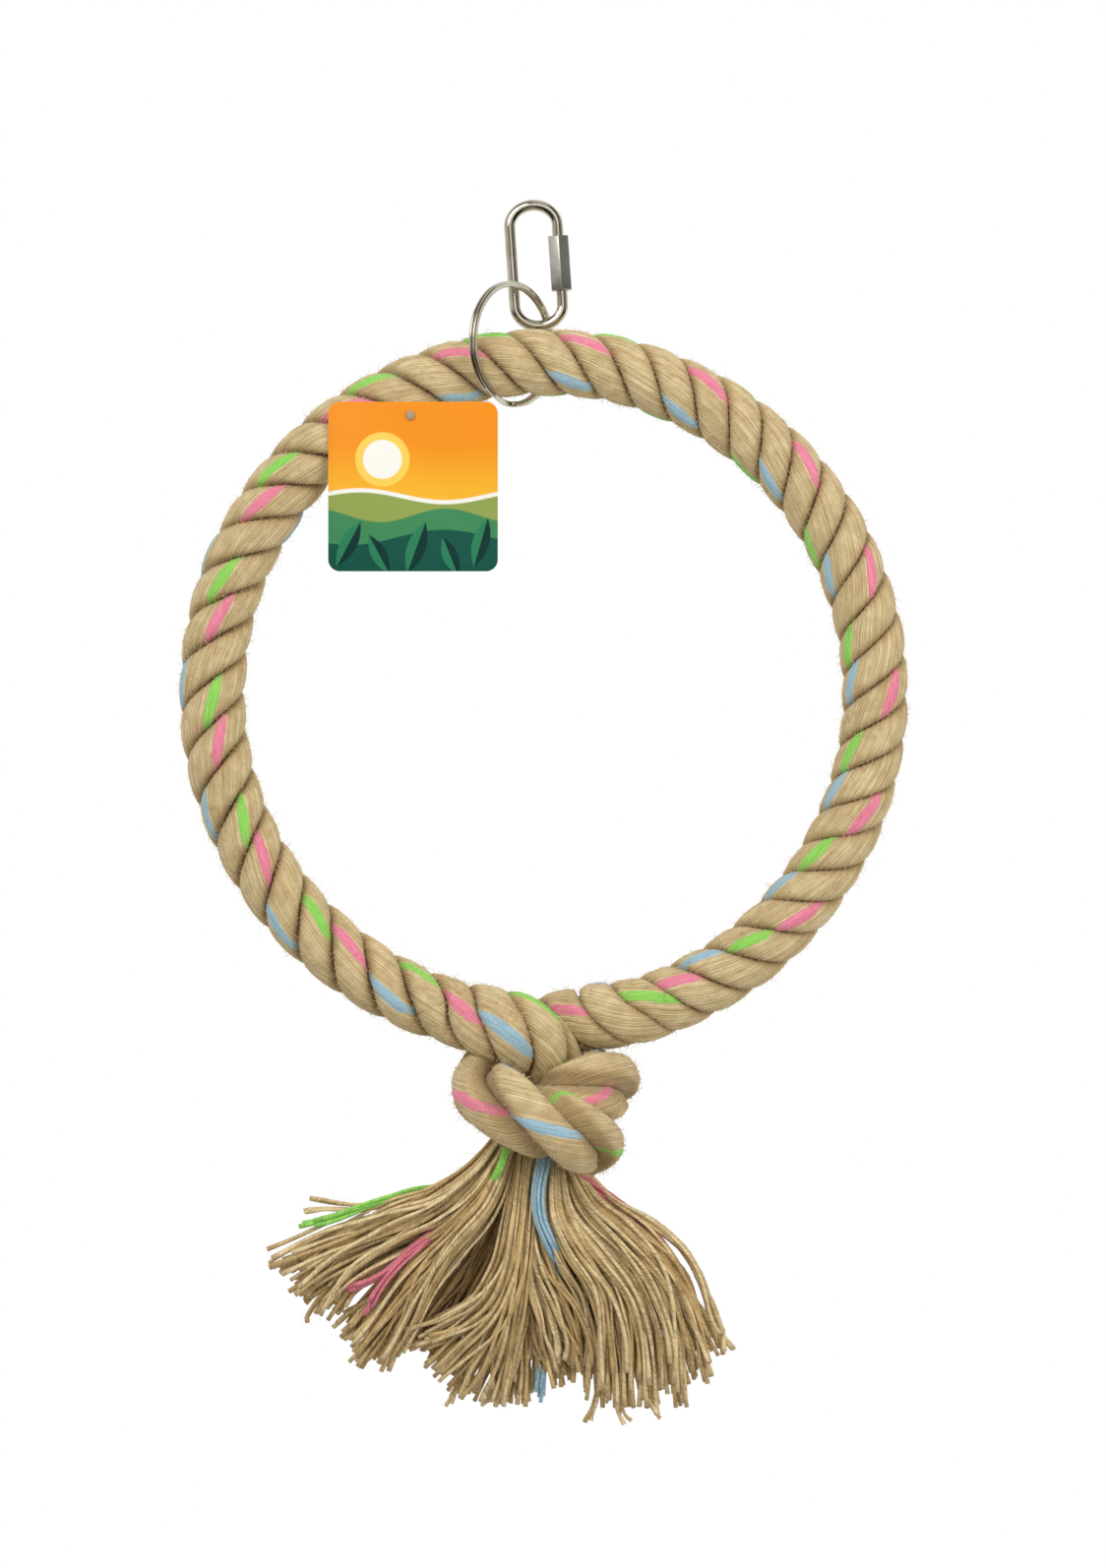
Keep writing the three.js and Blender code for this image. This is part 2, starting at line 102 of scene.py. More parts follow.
# Yarns in a strand
yarns_round_strand = 34
points_per_yarn = 4
rows_per_lay = 36
yarn_ridge = 0.35 * mm
tracer_rise = 0.3 * mm
strand_squareness = 2.8
strand_corner = 1.1
strand_fill = 1.06
strand_press = 0.45
tracer_yarns = 4.8
tracer_flatness = 0.6
yarn_roundness = 0.94
ridge_middle = 0.75
cut_overlap = 0.8 * mm
cut_sink = 0.04 * mm


def smooth(value, low, high):
    share = np.clip((value - low) / (high - low), 0, 1)
    return share * share * (3 - 2 * share)


def unit(vectors):
    return vectors / np.linalg.norm(vectors, axis=-1, keepdims=True)


def circle_angles(count):
    return np.arange(count) / count * full_turn


def look_up(value, values, table):
    """Points of a table at places between its rows."""
    return np.stack([np.interp(value, values, table[:, axis]) for axis in range(3)], -1)


def photo_point(px, py):
    """The frame's x and z of a pixel, in the rope's plane."""
    return (px - photo_origin[0]) * photo_scale, (photo_origin[1] - py) * photo_scale


# Rope line: left tail, ring and right tail on one running length that is 0 where the ring starts
joints = {joint["name"]: joint for joint in frame["record"]["behaviour"]["joints"]}
rope_at_split = np.array(joints["rope_ring_tip"]["pos_m"])
rope_radius = rope_diameter / 2
ring_radius = ring_outer_diameter / 2 - rope_radius
lay_length = full_turn * ring_radius / lays_round_ring
lay_rate = full_turn / lay_length
ring_sag = ring_radius - math.sqrt(ring_radius ** 2 - (rope_at_split[0] - ring_centre_x) ** 2)
ring_centre = np.array([ring_centre_x, rope_at_split[1], rope_at_split[2] + ring_sag - ring_radius])
ring_start = math.radians(270 - knot_half_angle)
ring_length = ring_radius * (full_turn - 2 * math.radians(knot_half_angle))
knot_origin = ring_centre - np.array([0, 0, ring_radius])

# Routes of the two ends through the knot, in mm from the ring's lowest point, with the rope's thickness
# there: pressed closer together than the solids, which keep clear of each other
left_route = [
    [-24, -2.2, 2.4, 1.03], [-16.5, -4.4, 0.4, 1.06], [-10.5, -4.8, -1.8, 1.06], [-5, -3, -4.8, 1],
    [-0.5, 1.2, -8.8, 0.97], [3.2, 5.6, -13, 0.86], [9, 9.2, -17.5, 0.8], [14.8, 9.4, -19.6, 0.86],
    [19.2, 6.2, -20.2, 0.93], [20.9, 0.3, -20.2, 0.97], [20.3, -6.3, -20.4, 0.97], [17, -10.8, -21, 0.93],
    [12.3, -12.6, -22, 0.86], [6.3, -11.6, -23.4, 0.77], [1.5, -8, -25.6, 0.7], [-1, -4, -29, 0.65],
    [-1.3, -1.5, -34, 0.62], [-0.7, -0.3, -39, 0.6], [0, 0, -44, 0.6],
]
right_route = [
    [24, 2.4, 3.2, 1], [16.5, 6.8, 2, 0.96], [9, 12.4, 0.8, 0.87], [1.5, 17, -1.4, 0.82],
    [-6, 17.2, -5.2, 0.85], [-12.5, 14, -11, 0.88], [-17.8, 7.6, -15.8, 0.88], [-20.6, -0.5, -20, 0.89],
    [-20.6, -9.5, -22.2, 0.93], [-16.8, -17.8, -24.7, 0.96], [-10.3, -23.8, -27.4, 0.97],
    [-3, -26.8, -30.5, 0.99], [5, -26.3, -34, 0.98], [12, -21.5, -37.2, 0.94], [16.4, -14, -39, 0.87],
    [16.6, -6, -41, 0.77], [14, 0, -44.5, 0.66], [10.5, 2, -50, 0.58],
]


def smooth_line(points, samples):
    """Points along a centripetal Catmull-Rom curve through the given points."""
    points = np.asarray(points, float)
    padded = np.vstack([2 * points[0] - points[1], points, 2 * points[-1] - points[-2]])
    place = np.linspace(0, len(points) - 1, samples)
    first = np.minimum(place.astype(int), len(points) - 2)
    share = (place - first)[:, None]
    a, b, c, d = (padded[first + step] for step in range(4))
    ab, bc, cd = (np.sqrt(np.linalg.norm(q - p, axis=1, keepdims=True)) for p, q in ((a, b), (b, c), (c, d)))
    leave = bc * ((b - a) / ab - (c - a) / (ab + bc) + (c - b) / bc)
    arrive = bc * ((c - b) / bc - (d - b) / (bc + cd) + (d - c) / cd)
    square = 3 * (c - b) - 2 * leave - arrive
    cube = 2 * (b - c) + leave + arrive
    return b + share * (leave + share * (square + share * cube))


def ring_frame(length):
    angle = ring_start - np.asarray(length) / ring_radius
    nothing = np.zeros_like(angle)
    normal = np.stack([np.cos(angle), nothing, np.sin(angle)], -1)
    tangent = np.stack([np.sin(angle), nothing, -np.cos(angle)], -1)
    return ring_centre + normal * ring_radius, tangent, normal


def tail_line(route, start, heading):
    """Samples of a tail from the ring outwards, with the ring's own normal carried along without twist."""
    leads = np.array([-2, -1, 0, 1])
    on_ring = ring_frame(start + heading * leads * tail_lead)[0]
    route = np.array(route)
    points = np.vstack([on_ring, knot_origin + route[:, :3] * mm])
    shares = np.concatenate([np.ones(len(leads)), route[:, 3]])
    centre = smooth_line(points, tail_samples)
    scale = np.interp(np.linspace(0, len(points) - 1, tail_samples), np.arange(len(points)), shares)
    tangent = unit(np.gradient(centre, axis=0) * heading)
    normal = np.empty_like(centre)
    carried = ring_frame(start - heading * 2 * tail_lead)[2]
    for sample in range(tail_samples):
        carried = unit(carried - tangent[sample] * carried.dot(tangent[sample]))
        normal[sample] = carried
    steps = np.linalg.norm(np.diff(centre, axis=0), axis=1)
    travelled = np.concatenate([[0], np.cumsum(steps)]) - 2 * tail_lead
    keep = travelled > 0
    scale = scale * (1 + knot_swell * smooth(travelled, swell_starts, swell_full))
    return travelled[keep], centre[keep], tangent[keep], normal[keep], scale[keep]


def rope_table():
    """Running length, centre, tangent, normal and thickness of the whole rope, from end to end."""
    left = [part[::-1] for part in tail_line(left_route, 0, -1)]
    right = tail_line(right_route, ring_length, 1)
    round_ring = np.linspace(0, ring_length, ring_samples)
    middle = [round_ring, *ring_frame(round_ring), np.ones(len(round_ring))]
    left[0] = -left[0]
    right = [ring_length + right[0], *right[1:]]
    return [np.concatenate(parts) for parts in zip(left, middle, right)]


rope_lengths, rope_centres, rope_tangents, rope_normals, rope_scales = rope_table()
rope_start, rope_end = rope_lengths[0], rope_lengths[-1]


def along_rope(table, length):
    if table.ndim == 1:
        return np.interp(length, rope_lengths, table)
    return look_up(length, rope_lengths, table)


def on_rope(length, out, turn, across):
    """Points beside the rope: out along the turned direction, across square to it, scaled with the rope."""
    normal = unit(along_rope(rope_normals, length))
    binormal = unit(np.cross(along_rope(rope_tangents, length), normal))
    scale = along_rope(rope_scales, length)
    sideways = (scale * (out * np.cos(turn) - across * np.sin(turn)))[..., None]
    endways = (scale * (out * np.sin(turn) + across * np.cos(turn)))[..., None]
    return along_rope(rope_centres, length) + normal * sideways + binormal * endways


# Strands: the helix radius at which three round strands just clear each other and fill the rope
def strand_radius_at(helix):
    share = np.arange(-0.5, 0.5, 0.005)
    apart = np.hypot(2 * helix * np.sin(full_turn * (1 / 3 + share) / 2), share * lay_length)
    return (apart.min() - strand_clearance) / 2


def solve_helix():
    low, high = 0.0, rope_radius
    while high - low > 1e-7:
        middle = (low + high) / 2
        if middle + strand_radius_at(middle) > rope_radius:
            high = middle
        else:
            low = middle
    return low


helix_radius = solve_helix()
strand_radius = strand_radius_at(helix_radius)
strand_offsets = {"pink": 0.0, "green": -full_turn / 3, "blue": full_turn / 3}

# Where round the rope each coloured yarn comes to the surface, in degrees from the outer edge: along the left
# tail by the length into it in mm, round the ring by its angle, and along the right tail
tracer_drift = {
    "pink": ([(120, 61), (92, 72), (51, 48), (9, 82)],
             [(250, 112), (180, 98), (135, 70), (90, 50), (0, 62), (-45, 78), (-64, 145)],
             [(28, 106), (121, 191)]),
    "green": ([(104, 85), (72, 225), (55, 160), (28, 145)],
              [(250, 128), (180, 92), (135, 53), (90, 15), (0, -45), (-45, -64), (-66, -64)],
              [(45, -15), (75, 33), (126, -67)]),
    "blue": ([(28, 67)],
             [(250, 62), (215, 44), (180, 27), (135, -13), (90, -50), (0, -38), (-45, -25), (-70, -20)],
             [(20, 6), (75, -90), (97, -80), (118, -20)]),
}
# Past this length into the right tail, out of sight behind the knot, pink and blue change places
tracer_change = 60 * mm
tracer_later = {"pink": "blue", "blue": "pink", "green": "green"}


def tracer_turn(dye, length):
    left, ring, right = tracer_drift[dye]
    keys = [(-tail * mm, turn) for tail, turn in left]
    keys += [(ring_radius * (ring_start - math.radians(angle)), turn) for angle, turn in ring]
    keys += [(ring_length + tail * mm, turn) for tail, turn in right]
    places, turns = np.array(keys).T
    return np.radians(np.interp(length, places, turns))


def past_opening(length):
    """How far a place in a tail lies beyond where the lay starts to open, in spans of the opening."""
    beyond = np.where(length < 0, -length - lay_opens_left, length - ring_length - lay_opens_right)
    return beyond / lay_opening


def lay_rate_at(length):
    """The lay is as tight as the ring's where a tail starts, and opens out inside the knot."""
    return lay_rate * (1 - (1 - knot_lay_share) * smooth(past_opening(length), 0, 1))


def even_turn(dye, length):
    lag = math.radians(lay_lag_at_top) * np.sin(math.pi * np.clip(length / ring_length, 0, 1))
    return math.radians(pink_start_turn) + length * lay_rate - lag + strand_offsets[dye]


def lay_nudge(length):
    """Small uneven places in the lay where the ring runs into the knot."""
    at_start, turn_at_start = np.array(nudges_at_start).T
    at_end, turn_at_end = np.array(nudges_at_end).T
    places = np.concatenate([at_start * mm, ring_length + at_end * mm])
    return np.radians(np.interp(length, places, np.concatenate([turn_at_start, turn_at_end])))


def strand_turn(dye, length):
    past = past_opening(length)
    opened = np.clip(past, 0, 1)
    lost = opened ** 3 - opened ** 4 / 2 + np.maximum(past - 1, 0)
    lost = lost * (1 - knot_lay_share) * lay_rate * lay_opening
    return even_turn(dye, length) + lay_nudge(length) + np.where(length < 0, lost, -lost)


def yarn_turn(dye, length):
    """How far a strand's yarns have turned round it, against the lay."""
    return 2 * (even_turn(dye, length) - tracer_turn(dye, length))


def wander(rng, count, length, waves):
    """Smooth random curves, one for each of count, each a sum of waves given as (wavelength, size)."""
    total = 0
    for wavelength, size in waves:
        phase = rng.uniform(0, full_turn, (1, count))
        stretch = rng.uniform(0.8, 1.25, (1, count))
        total = total + size * np.sin(full_turn * length[:, None] / (wavelength * stretch) + phase)
    return total


def new_piece(name, points, faces, uv=None, floats=None):
    mesh = bpy.data.meshes.new(name)
    mesh.from_pydata(points, [], faces)
    if uv is not None:
        layer = mesh.uv_layers.new(name="yarn")
        layer.data.foreach_set("uv", np.asarray(uv, np.float32).ravel())
    for key, values in (floats or {}).items():
        attribute = mesh.attributes.new(key, "FLOAT", "POINT")
        attribute.data.foreach_set("value", np.asarray(values, np.float32).ravel())
    corners = np.empty(len(mesh.polygons), np.int32)
    mesh.polygons.foreach_get("loop_total", corners)
    mesh.polygons.foreach_set("use_smooth", corners <= 4)
    mesh.update()
    piece = bpy.data.objects.new(name, mesh)
    bpy.context.scene.collection.objects.link(piece)
    return piece


def dress(piece, body, slot, material, *nodes):
    piece.data.materials.append(material)
    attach(piece, body)
    if nodes:
        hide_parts(*nodes)
    return piece


def tube_faces(rows, columns):
    """Quads round a tube whose points run row by row. Its two ends are left open."""
    row, column = np.meshgrid(np.arange(rows - 1), np.arange(columns), indexing="ij")
    beside = (column + 1) % columns
    quads = np.stack([row * columns + column, row * columns + beside,
                      (row + 1) * columns + beside, (row + 1) * columns + column], -1)
    return quads.reshape(-1, 4)


def tube_ends(rows, columns):
    """One face over each end of such a tube."""
    return [tuple(range(columns))[::-1], tuple(range((rows - 1) * columns, rows * columns))]


def strand_surface(dye, length, column_angle, lift):
    """Points on a strand: rows along it, columns that follow its yarns round it."""
    turn = strand_turn(dye, length)[:, None]
    round_strand = column_angle - yarn_turn(dye, length)[:, None]
    square = (np.abs(np.cos(round_strand)) ** strand_squareness
              + np.abs(np.sin(round_strand)) ** strand_squareness) ** (-1 / strand_squareness)
    radius = strand_radius * np.minimum(square, strand_corner) * strand_fill
    slope = helix_radius * lay_rate_at(length)[:, None]
    out = helix_radius + radius * np.cos(round_strand) - (strand_fill - 1) * strand_radius
    across = radius * np.sin(round_strand) / np.hypot(1, slope)
    pressed = strand_press * smooth(np.cos(round_strand), 0, 0.5)
    swell = 1 + pressed * (rope_radius / np.hypot(out, across) - 1)
    out = out * swell + lift * np.cos(round_strand)
    across = across * swell + lift * np.sin(round_strand) / np.hypot(1, slope)
    points = on_rope(length[:, None] - across * slope, out, turn, across)
    return points, round_strand


yarn_seed = {"pink": 11, "green": 23, "blue": 37}
# Waves of unevenness along the yarns, as (wavelength, size): a stray's size is in yarns
lift_waves = [(60 * mm, 0.06 * mm), (27 * mm, 0.05 * mm)]
stray_waves = [(55 * mm, 0.2), (26 * mm, 0.07)]
swell_waves = [(170 * mm, 0.1 * mm), (70 * mm, 0.07 * mm)]


def yarn_lift(dye, length):
    """Unevenness of a strand's yarns: how far each stands proud, and how far it strays sideways."""
    rng = np.random.default_rng(yarn_seed[dye])
    lift = wander(rng, yarns_round_strand, length, lift_waves)
    stray = wander(rng, yarns_round_strand, length, stray_waves)
    swell = wander(rng, 1, length, swell_waves)
    return lift + swell, stray


def make_strand(name, dye, start, stop, solid, material):
    rows = max(2, round((stop - start) / lay_length * rows_per_lay)) + 1
    length = np.linspace(start, stop, rows)
    tucked = [start - cut_overlap] if start > rope_start else []
    length = np.concatenate([tucked, length, [stop + cut_overlap] if stop < rope_end else []])
    sunk = np.where((length < start) | (length > stop), -cut_sink, 0)[:, None]
    rows = len(length)
    columns = yarns_round_strand * points_per_yarn
    column = np.arange(columns)
    yarn = column // points_per_yarn
    across = (column % points_per_yarn) / points_per_yarn * 2 - 1
    lift, stray = yarn_lift(dye, length)
    crest = np.sqrt(1 - (yarn_roundness * across) ** 2)
    edge = (column % points_per_yarn == 0)
    neighbour = (yarn - 1) % yarns_round_strand
    rise = np.where(edge, (lift[:, yarn] + lift[:, neighbour]) / 2, lift[:, yarn])
    shift = np.where(edge, (stray[:, yarn] + stray[:, neighbour]) / 2, stray[:, yarn])
    yarn_place = column[None, :] / points_per_yarn + shift - yarns_round_strand / 2
    angle = yarn_place * full_turn / yarns_round_strand
    off_tracer = np.abs(column / points_per_yarn - yarns_round_strand / 2) / (tracer_yarns / 2)
    tracer = np.clip(1 - off_tracer ** 2, 0, 1)
    ridge = yarn_ridge * (crest - ridge_middle) * (1 - tracer_flatness * (tracer > 0)) + tracer_rise * tracer
    points, round_strand = strand_surface(dye, length, angle, rise + ridge + sunk)
    quads = tube_faces(rows, columns)
    left = quads[:, 0] % columns / points_per_yarn
    low = quads[:, 0] // columns
    along = length / mm
    wide = 1 / points_per_yarn
    uv = np.stack([np.stack([left, along[low]], -1), np.stack([left + wide, along[low]], -1),
                   np.stack([left + wide, along[low + 1]], -1), np.stack([left, along[low + 1]], -1)], 1)
    cap_uv = np.zeros((2 * columns, 2))
    inward = (1 - np.cos(round_strand)) / 2
    piece = new_piece(name, points.reshape(-1, 3), quads.tolist() + tube_ends(rows, columns),
                      np.concatenate([uv.reshape(-1, 2), cap_uv]), {"inward": inward})
    return dress(piece, "rope_ring", "jute", material, solid)


# Node helpers
def new_material(name):
    material = bpy.data.materials.new(name)
    material.use_nodes = True
    return material, material.node_tree, material.node_tree.nodes["Principled BSDF"]


def node(tree, kind, inputs=None, **settings):
    made = tree.nodes.new(kind)
    for key, value in settings.items():
        setattr(made, key, value)
    for key, value in (inputs or {}).items():
        socket = made.inputs[key]
        if isinstance(value, bpy.types.NodeSocket):
            tree.links.new(value, socket)
        else:
            socket.default_value = value
    return made


def math_node(tree, operation, *values):
    return node(tree, "ShaderNodeMath", dict(enumerate(values)), operation=operation).outputs[0]


def range_node(tree, value, low, high, to_low=0.0, to_high=1.0):
    made = node(tree, "ShaderNodeMapRange", {"Value": value, "From Min": low, "From Max": high,
                                             "To Min": to_low, "To Max": to_high})
    made.interpolation_type = "SMOOTHSTEP"
    return made.outputs[0]


def mix_colour(tree, share, first, second):
    return node(tree, "ShaderNodeMix", {0: share, 6: first, 7: second}, data_type="RGBA").outputs[2]


def noise(tree, vector, scale, detail=2.0):
    """A soft random value over a surface."""
    made = node(tree, "ShaderNodeTexNoise", {"Vector": vector, "Scale": scale, "Detail": detail})
    return made.outputs[0]


def colour(red, green, blue):
    """A colour written as it looks on screen, turned to the renderer's own scale."""
    def linear(value):
        value /= 255
        return value / 12.92 if value <= 0.04045 else ((value + 0.055) / 1.055) ** 2.4
    return (linear(red), linear(green), linear(blue), 1)


jute_pale = colour(245, 226, 180)
jute_mid = colour(218, 195, 145)
jute_brown = colour(164, 132, 82)
# Dark brown that is painted shade, in the grooves between strands and the gaps between yarns
jute_painted_shade = colour(112, 82, 46)
loose_pale = colour(254, 232, 180)
loose_mid = colour(206, 174, 114)
loose_brown = colour(122, 91, 50)
dyes = {"pink": colour(250, 152, 176), "green": colour(164, 232, 106), "blue": colour(178, 211, 224),
        "dull_pink": colour(234, 136, 150)}
dyes_pale = {"pink": colour(254, 204, 216), "green": colour(206, 248, 162), "blue": colour(214, 234, 240),
             "dull_pink": colour(246, 180, 184)}
dyes_deep = {"pink": colour(212, 92, 122), "green": colour(102, 176, 62), "blue": colour(118, 160, 182),
             "dull_pink": colour(180, 86, 100)}


# Fibre along the yarns, whose map is in yarns across and mm along: streaks in a yarn, how fast they, the
# yarn's tone and the gaps beside it change along it, and how far apart yarns and gaps draw their noise
streaks_across = 5.0
streak_change = 0.22
tone_change = 0.05
gap_change = 0.16
yarn_apart = 7.3
gap_apart = 3.7
own_tone_share = 0.45
gap_depth = 0.5


def yarn_fibre_group():
    """Spun fibre along a yarn, from its map: streaks, the yarn's own tone, the gaps beside it, which the
    materials darken as painted shade, and a height.
    """
    group = bpy.data.node_groups.new("yarn_fibre", "ShaderNodeTree")
    face = group.interface
    face.new_socket("Map", in_out="INPUT", socket_type="NodeSocketVector")
    face.new_socket("Twist", in_out="INPUT", socket_type="NodeSocketFloat")
    for name in ("Streak", "Tone", "Gap", "Height"):
        face.new_socket(name, in_out="OUTPUT", socket_type="NodeSocketFloat")
    enter = node(group, "NodeGroupInput")
    leave = node(group, "NodeGroupOutput")
    parts = node(group, "ShaderNodeSeparateXYZ", {0: enter.outputs["Map"]})
    across, along = parts.outputs[0], parts.outputs[1]
    yarn = math_node(group, "FLOOR", across)
    within = math_node(group, "FRACT", across)
    valley = math_node(group, "ABSOLUTE", math_node(group, "MULTIPLY_ADD", within, 2.0, -1.0))
    slant = math_node(group, "MULTIPLY_ADD", along, enter.outputs["Twist"], across)
    streak_at = node(group, "ShaderNodeCombineXYZ", {
        0: math_node(group, "MULTIPLY", slant, streaks_across),
        1: math_node(group, "MULTIPLY", along, streak_change), 2: yarn})
    streak = node(group, "ShaderNodeTexNoise", {"Vector": streak_at.outputs[0], "Scale": 1.0, "Detail": 3.0,
                                                "Roughness": 0.6})
    own = node(group, "ShaderNodeTexWhiteNoise", {"W": yarn}, noise_dimensions="1D")
    slow_at = node(group, "ShaderNodeCombineXYZ", {0: math_node(group, "MULTIPLY", yarn, yarn_apart),
                                                   1: math_node(group, "MULTIPLY", along, tone_change)})
    slow = noise(group, slow_at.outputs[0], 1.0)
    tone = math_node(group, "ADD", math_node(group, "MULTIPLY", own.outputs[0], own_tone_share),
                     math_node(group, "MULTIPLY", slow, 1 - own_tone_share))
    seam = math_node(group, "ROUND", across)
    open_at = node(group, "ShaderNodeCombineXYZ", {0: math_node(group, "MULTIPLY", seam, gap_apart),
                                                   1: math_node(group, "MULTIPLY", along, gap_change)})
    depth = range_node(group, noise(group, open_at.outputs[0], 1.0), 0.3, 0.65, 0.25, 1.0)
    gap = math_node(group, "MULTIPLY", range_node(group, valley, 0.5, 1.0), depth)
    height = math_node(group, "SUBTRACT", streak.outputs[0], math_node(group, "MULTIPLY", gap, gap_depth))
    for name, value in (("Streak", streak.outputs[0]), ("Tone", tone), ("Gap", gap), ("Height", height)):
        group.links.new(value, leave.inputs[name])
    return group


yarn_fibre = yarn_fibre_group()
fibre_bump = 0.25
fibre_height = 0.25 * mm
strand_twist = 0.18
tassel_twist = 0.3


def natural_jute(tree, fibre, pale=jute_pale, mid=jute_mid, brown=jute_brown):
    """Jute's own colour: pale to brown from yarn to yarn, streaked along the fibre."""
    tone = range_node(tree, fibre.outputs["Tone"], 0.25, 0.75)
    streak = range_node(tree, fibre.outputs["Streak"], 0.3, 0.72)
    body = mix_colour(tree, tone, mid, pale)
    place = node(tree, "ShaderNodeTexCoord")
    cloud = noise(tree, place.outputs["Object"], 210.0, 3.0)
    dull = range_node(tree, cloud, 0.36, 0.66, 0.75, 0.3)
    worn = math_node(tree, "MULTIPLY", math_node(tree, "SUBTRACT", 1.0, streak), dull)
    return mix_colour(tree, worn, body, brown)


def dyed_jute(tree, fibre, dye):
    streak = range_node(tree, fibre.outputs["Streak"], 0.32, 0.66)
    # The share towards the deeper dye: the fibre's own darker streaks, and painted shade in the gaps between
    # yarns
    worn = math_node(tree, "MAXIMUM", math_node(tree, "SUBTRACT", 1.0, streak), fibre.outputs["Gap"])
    base = mix_colour(tree, math_node(tree, "MULTIPLY", worn, 0.75), dyes[dye], dyes_deep[dye])
    place = node(tree, "ShaderNodeTexCoord")
    fleck = range_node(tree, noise(tree, place.outputs["Object"], 1500.0), 0.55, 0.75, 0.0, 0.4)
    return mix_colour(tree, fleck, base, dyes_pale[dye])


def finish_fibre(tree, shader, fibre, base):
    bump = node(tree, "ShaderNodeBump", {"Strength": fibre_bump, "Distance": fibre_height,
                                         "Height": fibre.outputs["Height"]})
    tree.links.new(base, shader.inputs["Base Color"])
    tree.links.new(bump.outputs[0], shader.inputs["Normal"])
    rough = range_node(tree, fibre.outputs["Streak"], 0.2, 0.8, 0.95, 0.78)
    tree.links.new(rough, shader.inputs["Roughness"])
    shader.inputs["Specular IOR Level"].default_value = 0.25
    shader.inputs["Sheen Weight"].default_value = 0.15
    shader.inputs["Sheen Roughness"].default_value = 0.6


def strand_material(name, dye, later):
    """Natural yarns with a few dyed ones, and painted shade at the strands' edges, in the grooves and in the
    gaps between yarns; past the change in the right tail the dye is another.
    """
    material, tree, shader = new_material(name)
    uv = node(tree, "ShaderNodeUVMap", uv_map="yarn")
    fibre = node(tree, "ShaderNodeGroup", {"Map": uv.outputs[0], "Twist": strand_twist}, node_tree=yarn_fibre)
    parts = node(tree, "ShaderNodeSeparateXYZ", {0: uv.outputs[0]})
    inward = node(tree, "ShaderNodeAttribute", attribute_name="inward")
    from_tracer = math_node(tree, "SUBTRACT", parts.outputs[0], yarns_round_strand / 2)
    off_tracer = math_node(tree, "ABSOLUTE", from_tracer)
    long_edge = node(tree, "ShaderNodeMapping", {"Vector": uv.outputs[0], "Scale": (1, 0.3, 1)})
    fray = range_node(tree, noise(tree, long_edge.outputs[0], 1.2, 4.0), 0.25, 0.75, -0.35, 0.35)
    off_tracer = math_node(tree, "ADD", off_tracer, fray)
    half_width = range_node(tree, inward.outputs["Fac"], 0.02, 0.26, tracer_yarns / 2, tracer_yarns * 0.37)
    tracer = range_node(tree, math_node(tree, "SUBTRACT", half_width, off_tracer), -0.12, 0.12)
    dyed = dyed_jute(tree, fibre, dye)
    if later != dye:
        past = math_node(tree, "GREATER_THAN", parts.outputs[1], (ring_length + tracer_change) / mm)
        dyed = mix_colour(tree, past, dyed, dyed_jute(tree, fibre, later))
    base = mix_colour(tree, tracer, natural_jute(tree, fibre), dyed)
    # Painted shade: browner where the strand's surface turns inward towards its neighbours, less of it on the
    # dyed yarns
    edge = range_node(tree, inward.outputs["Fac"], 0.03, 0.3, 0.0, 0.48)
    # Painted shade: darkest in the grooves between strands
    groove_shade = range_node(tree, inward.outputs["Fac"], 0.21, 0.36, 0.0, 0.2)
    # Painted shade in the gaps between yarns, less of it on the dyed yarns
    plain = math_node(tree, "SUBTRACT", 0.6, math_node(tree, "MULTIPLY", tracer, 0.5))
    base = mix_colour(tree, math_node(tree, "MULTIPLY", fibre.outputs["Gap"], plain), base, jute_painted_shade)
    bare = math_node(tree, "MULTIPLY_ADD", tracer, -0.7, 1.0)
    base = mix_colour(tree, math_node(tree, "MULTIPLY", edge, bare), base, jute_brown)
    base = mix_colour(tree, groove_shade, base, jute_painted_shade)
    finish_fibre(tree, shader, fibre, base)
    return material


# Fuzz: loose fibre ends that stand off the yarns
hair_sides = 3
hair_along = 0.9
hair_outward = (0.3, 0.9)
hair_scatter = 0.25
hair_bend = 0.35
hair_droop = 0.2
hair_root = 0.1 * mm
hair_aside = np.array([0.31, 0.82, 0.48])
hair_waist = 0.4
outer_side = 0.2
nap_thickness = 0.14 * mm
stray_thickness = 0.09 * mm
nap_reach = (0.9 * mm, 3.2 * mm)
stray_reach = (2 * mm, 6 * mm)
ring_nap = 44000
end_nap = 13000
ring_strays = 4200
end_strays = 1000
nap_seed = 201
stray_hair_seed = 211


def make_hairs(name, rng, roots, outward, along, reach, thickness, material):
    """Thin tapered hairs from roots on the yarns, that lean along them and bend as they go."""
    count = len(roots)
    length = rng.uniform(*reach, (count, 1)) ** 2 / reach[1]
    lean = along * rng.normal(0, hair_along, (count, 1)) + outward * rng.uniform(*hair_outward, (count, 1))
    lean = unit(lean + rng.normal(0, hair_scatter, (count, 3)))
    bend = rng.normal(0, hair_bend, (count, 3)) - hair_droop * outward
    share = np.array([0, 0.5, 1])[:, None, None]
    line = roots - outward * hair_root + length * (lean * share + bend * share ** 2)
    side = unit(np.cross(lean, hair_aside))
    up = np.cross(lean, side)
    turn = circle_angles(hair_sides)
    ring = side[:, None] * np.cos(turn)[:, None] + up[:, None] * np.sin(turn)[:, None]
    foot = line[0][:, None] + ring * thickness / 2
    waist = line[1][:, None] + ring * thickness * hair_waist
    points = np.concatenate([foot, waist, line[2][:, None]], 1)
    tip = 2 * hair_sides
    faces = [tuple(range(hair_sides))[::-1]] + [tuple(quad) for quad in tube_faces(2, hair_sides)]
    faces += [(hair_sides + edge, hair_sides + (edge + 1) % hair_sides, tip) for edge in range(hair_sides)]
    all_faces = [tuple(first + corner for corner in face)
                 for first in range(0, count * (tip + 1), tip + 1) for face in faces]
    piece = new_piece(name, points.reshape(-1, 3), all_faces)
    return dress(piece, "rope_ring", "jute", material)


